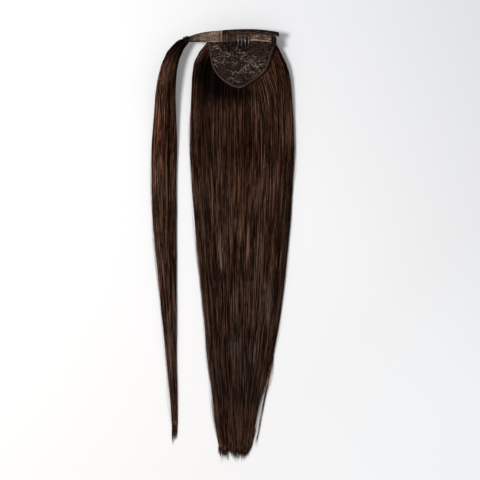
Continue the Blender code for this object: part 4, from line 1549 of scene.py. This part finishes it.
def build_hooks(cloth, fuzz, thread):
    """The hook patch with its fuzz, its bright lower rim and the row of stitches on that, and painted shade
    in the groove above the rim.
    """
    left, right = COMB_X + COMB_LENGTH / 2 + FIT, END_RIGHT_X - END_WIDTH - FIT
    top_inset = TAPE_HEIGHT + FIT
    low_inset = top_inset + HOOK_HEIGHT
    groove_rise = 0.0024

    def height(x, y):
        groove = bell(y - band_top(x, low_inset), groove_rise, 0.00035)
        rise = 0.0002 * mottle(*in_pixels(x, y), 1.5, 1.5, "hook_rise")
        return HOOK_TOP - 0.0007 - 0.0005 * groove + rise

    def tone(x, y):
        px, py = in_pixels(x, y)
        over = y - band_top(x, low_inset)
        # Lighter along the lower rim, and painted shade in the groove above it
        rim = 0.135 * (1 - soft_step(over, 0.0016, 0.0022)) - 0.39 * bell(over, groove_rise, 0.0004)
        fleck = 0.50 * mottle(px, py, 1.6, 0.9, "hook_fleck")
        return rim + fleck + 0.15 * mottle(px, py, 5, 3, "hook_cloud")

    edges = (edge_at(top_inset), edge_at(low_inset))
    thick = HOOK_THICK - 0.0007
    piece = strip("hook_patch", (left, right), edges, height, tone, thick, (90, 30), cloth)
    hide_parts("hook_tape")
    rng = rng_of("hooks")
    shape = (FUZZ_COUNT, 1)
    share = evenly(6)
    x0 = rng.uniform(left + 0.0006, right - 0.0006, shape)
    y0 = band_top(x0, top_inset + 0.0006) - rng.uniform(0, HOOK_HEIGHT - 0.0036, shape)
    angle = rng.normal(0.0, 0.7, shape) + np.pi * (rng.random(shape) < 0.5)
    reach = rng.uniform(0.0005, 0.0014, shape)
    x = x0 + np.cos(angle) * reach * share + 0.0002 * np.sin(6 * share + x0 * 9000)
    y = y0 + np.sin(angle) * reach * share
    z = HOOK_TOP - 0.0008 + 0.0010 * np.sin(np.pi * share * 0.9) * rng.uniform(0.4, 1, shape)
    light = 0.45 + 1.1 * mottle(*in_pixels(x0, y0), 1.7, 1.0, "hook_light")
    piece = tubes("hook_fuzz", stacked(x, y, z), FUZZ_RADIUS, 4, fuzz, light)
    x = np.linspace(left + 0.0006, right - 0.0006, 120)
    line = stacked(x, band_top(x, low_inset - 0.0010))
    piece = stitches("hook_stitches", line, HOOK_TOP - 0.0006, thread)


def build_end(cloth):
    """The upright tape that closes the band's right end, pressed in along both its sides, with painted
    shade in those grooves.
    """
    right = END_RIGHT_X
    left = right - END_WIDTH
    top = float(band_top(np.array(right), TAPE_HEIGHT + FIT))

    def ribs(x, width):
        return bell(x, left + 0.0012, width) + bell(x, right - 0.0012, width)

    def height(x, y):
        return TRIM_Z + END_THICK - 0.00035 * ribs(x, 0.0004)

    def tone(x, y):
        # Painted shade in the pressed grooves
        return -0.02 - 0.25 * ribs(x, 0.0005)

    edges = (level_at(top), level_at(top - END_LENGTH))
    piece = strip("end_tape", (left, right), edges, height, tone, END_THICK, (40, 50), cloth)
    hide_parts("end_binding")


def strap_at(share):
    """The strap's edges and level at shares of its length from its hem."""
    rows = spread(STRAP_SECTIONS, 400)
    found = {name: np.interp(share, rows["along"], values) for name, values in rows.items()}
    x = BASE_LEFT_X + STRAP_LAP - share * (STRAP_LAP + STRAP_REACH)
    upper = BAND_LOW_Y + found["upper"] * STRAP_WIDTH
    lower = BAND_LOW_Y + found["lower"] * STRAP_WIDTH
    return x, upper, lower, TRIM_Z - found["fall"] * STRAP_FALL


def strap_tone(px, py, across, hem):
    """The strap's light and dark places, with painted light and shade on its puckers."""
    # Painted light and shade on the slopes of the puckers
    painted_ripple_light = spots(px, py, PAINTED_RIPPLE_LIGHT_SPOTS) * np.cos(px * PUCKER_PACE + 0.4 * py)
    tone = 0.10 * hem + 0.20 * painted_ripple_light + spots(px, py, STRAP_SPOTS)
    tone = tone + 0.14 * mottle(px, py, 2.0, 1.1, "strap_weave")
    tone = tone + 0.10 * mottle(px, py, 1.1, 0.9, "strap_grain")
    tone = tone + 0.26 * mottle(px, py, 3.2, 2.0, "strap_cloud")
    tone = tone - 0.20 * (1 - soft_step(px, *STRAP_ROOT)) - 0.15 * (1 - soft_step(px, *STRAP_LEFT))
    tone = tone - 0.16 * bell(px, *HEM_LINE)
    return tone - 0.10 * (1 - soft_step(across, 0.10, 0.35)) * (1 - soft_step(px, *STRAP_LOW_LEFT))


def build_strap(cloth, dark, thread):
    """The loop strap with its folded hem and puckers, its dark upper edge and its stitches."""
    share = evenly(150)
    x, upper, lower, level = strap_at(share)
    across = evenly(34)[:, None]
    y = lower + (upper - lower) * across
    px, py = in_pixels(x, y)
    px = np.broadcast_to(px, py.shape)
    hem = 1 - soft_step(share, 0.045, 0.062)
    wrinkle = 0.00022 * mottle(px + py * STRAP_SLANT, py, 2.6, 3.5, "strap_wrinkle")
    gather = 0.0005 * soft_step(share, 0.70, 1.0) * np.cos(across * 9.0 + px * 0.15)
    pucker = 0.00045 * spots(px, py, PUCKER_SPOTS) * np.cos(px * PUCKER_PACE)
    crown = 0.0002 * np.sin(np.pi * across)
    edge = np.minimum(across, 1 - across) * (upper - lower)
    z = level + STRAP_THICK + 0.0009 * hem + wrinkle + gather + pucker + crown
    top = stacked(x, y, z - 0.0005 * (1 - soft_step(edge, 0.0, 0.0009)))
    bottom = stacked(x, y, level + 0.00005 + gather * 0.5)
    tone = strap_tone(px, py, across, hem)
    piece = slab("strap_cloth", top[:, ::-1], bottom[:, ::-1], cloth, tone[:, ::-1])
    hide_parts("wrap_strap")
    x, upper, _, level = strap_at(np.linspace(0.25, 1.0, 80))
    line = stacked(x, upper - 0.0002, level + STRAP_THICK - 0.0003)[None]
    piece = tubes("strap_edging", line, EDGING_RADIUS, 8, dark, -0.1)
    x, _, lower, level = strap_at(np.linspace(0.05, 0.52, 200))

    def height(a, b):
        return np.interp(a, x[::-1], level[::-1]) + STRAP_THICK + 0.0001

    line = stacked(x, lower + 0.0009)
    piece = stitches("strap_stitches", line, height, thread)


def tooth_place(number):
    """The x of a tooth, or of a place between two teeth, counted from the left."""
    return COMB_X + (number - (COMB_TEETH - 1) / 2) * COMB_PITCH


def build_comb(plastic, thread):
    """The comb: its teeth, its spine and the thread that sews it on between the teeth, with painted light
    and shade on the teeth and the spine.
    """
    ends = np.array([COMB_X - COMB_LENGTH / 2, COMB_X + COMB_LENGTH / 2])
    root_y = float(band_top(ends, TAPE_HEIGHT + FIT).min()) - SPINE_HEIGHT / 2
    root_z = TRIM_Z + SPINE_THICK / 2
    steps = 26
    rows = spread(TOOTH_SHAPE, steps)
    along = evenly(steps)
    y, z = root_y - rows["along"] * TOOTH_LENGTH, root_z - rows["dip"] * TOOTH_DIP
    paths = np.array([stacked(tooth_place(i), y, z) for i in range(COMB_TEETH)])
    tip = np.sqrt(np.clip(1 - soft_step(along, 0.93, 1.0) ** 2 * 0.9, 0.05, 1))
    radius = np.tile(rows["radius"] * TOOTH_RADIUS * tip, (COMB_TEETH, 1))
    tones = [
        base + glint * bell(along, 0.30, 0.07) - fade * soft_step(along, start, 0.85)
        for base, glint, fade, start in TOOTH_PAINTED_LIGHT
    ]
    piece = tubes("comb_teeth", paths, radius, 12, plastic, np.array(tones), flat=0.85)
    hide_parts("comb")
    line = stacked(np.linspace(*ends, 40), root_y, root_z)[None]
    round_ends = np.sqrt(np.clip(1 - np.abs(np.linspace(-1, 1, 40)) ** 14, 0.08, 1))[None]
    # The left part of the spine is darker: painted shade
    tone = 0.1 - 0.4 * (evenly(40) < 0.42)[None]
    piece = tubes("comb_spine", line, SPINE_HEIGHT / 2 * round_ends, 14, plastic, tone)
    turn = np.linspace(0, 2 * np.pi, 14)
    y = root_y + (SPINE_HEIGHT / 2 + 0.00015) * np.cos(turn)
    z = root_z + (SPINE_THICK / 2 + 0.00015) * np.sin(turn)
    rng = rng_of("comb")
    wraps = []
    for i in range(COMB_TEETH - 1):
        for j in (-1, 0, 1):
            x = tooth_place(i + 0.5) + j * COMB_THREAD_PITCH + 0.0002 * turn / np.pi + rng.normal(0, 0.0001)
            wraps.append(stacked(x, y, z))
    piece = tubes("comb_thread", np.array(wraps), COMB_THREAD_RADIUS, 4, thread, 0.25)


def build_net_stitches(thread):
    """The zigzag seam under the comb, and the short one that slants away from it."""

    def height(x, y):
        return net_height(x, y) + 0.0002

    for name, px, py in NET_SEAMS:
        line = stacked(*from_pixels(np.linspace(*px, 60), np.linspace(*py, 60)))
        piece = stitches(name, line, height, thread)


# Stage
def build_stage():
    """The pale floor, the camera straight above, the even light of the room and a soft lamp."""
    bpy.ops.mesh.primitive_plane_add(size=8.0, location=(0, 0, -0.0002))
    floor = bpy.context.object
    floor.name = "floor"
    floor.data.materials.append(floor_material())
    scene = bpy.context.scene
    x, y = from_pixels(FRAME_PIXELS / 2, FRAME_PIXELS / 2)
    data = bpy.data.cameras.new("camera")
    data.sensor_width = 36.0
    data.lens = data.sensor_width * (CAMERA_HEIGHT - FOCUS_HEIGHT) / (FRAME_PIXELS * PIXEL)
    camera = bpy.data.objects.new("camera", data)
    camera.location = (x, y, CAMERA_HEIGHT)
    scene.collection.objects.link(camera)
    scene.camera = camera
    world = bpy.data.worlds.new("studio")
    world.use_nodes = True
    back = world.node_tree.nodes["Background"]
    back.inputs["Color"].default_value = (1.0, 0.985, 0.98, 1.0)
    back.inputs["Strength"].default_value = 0.50
    scene.world = world
    light = bpy.data.lights.new("key", "AREA")
    light.shape = "DISK"
    light.size = 0.62
    light.energy = 47.5
    light.color = (1.0, 0.985, 0.965)
    key = bpy.data.objects.new("key", light)
    key.location = (-1.05, 0.30, 2.15)
    key.rotation_euler = (Vector((x, y, 0.0)) - key.location).to_track_quat("-Z", "Y").to_euler()
    scene.collection.objects.link(key)
    scene.view_settings.view_transform = "Standard"
    scene.view_settings.look = "None"


def main():
    """Every material and piece, and the stage."""
    cloths = {name: cloth_material(name) for name in CLOTHS}
    threads = {name: thread_material(name) for name in THREADS}
    lace, tape = threads["lace_thread"], cloths["tape_weave"]
    build_hair(hair_material(), threads["root_binding"])
    build_net(cloths["net_mesh"])
    build_lace(lace)
    build_binding(cloths["binding_weave"], lace)
    build_band(cloths["band_weave"], tape)
    build_tape(tape, lace)
    build_hooks(cloths["hook_ground"], threads["hook_thread"], lace)
    build_end(tape)
    build_strap(cloths["strap_loops"], tape, lace)
    build_comb(plastic_material(), lace)
    build_net_stitches(lace)
    build_stage()


main()
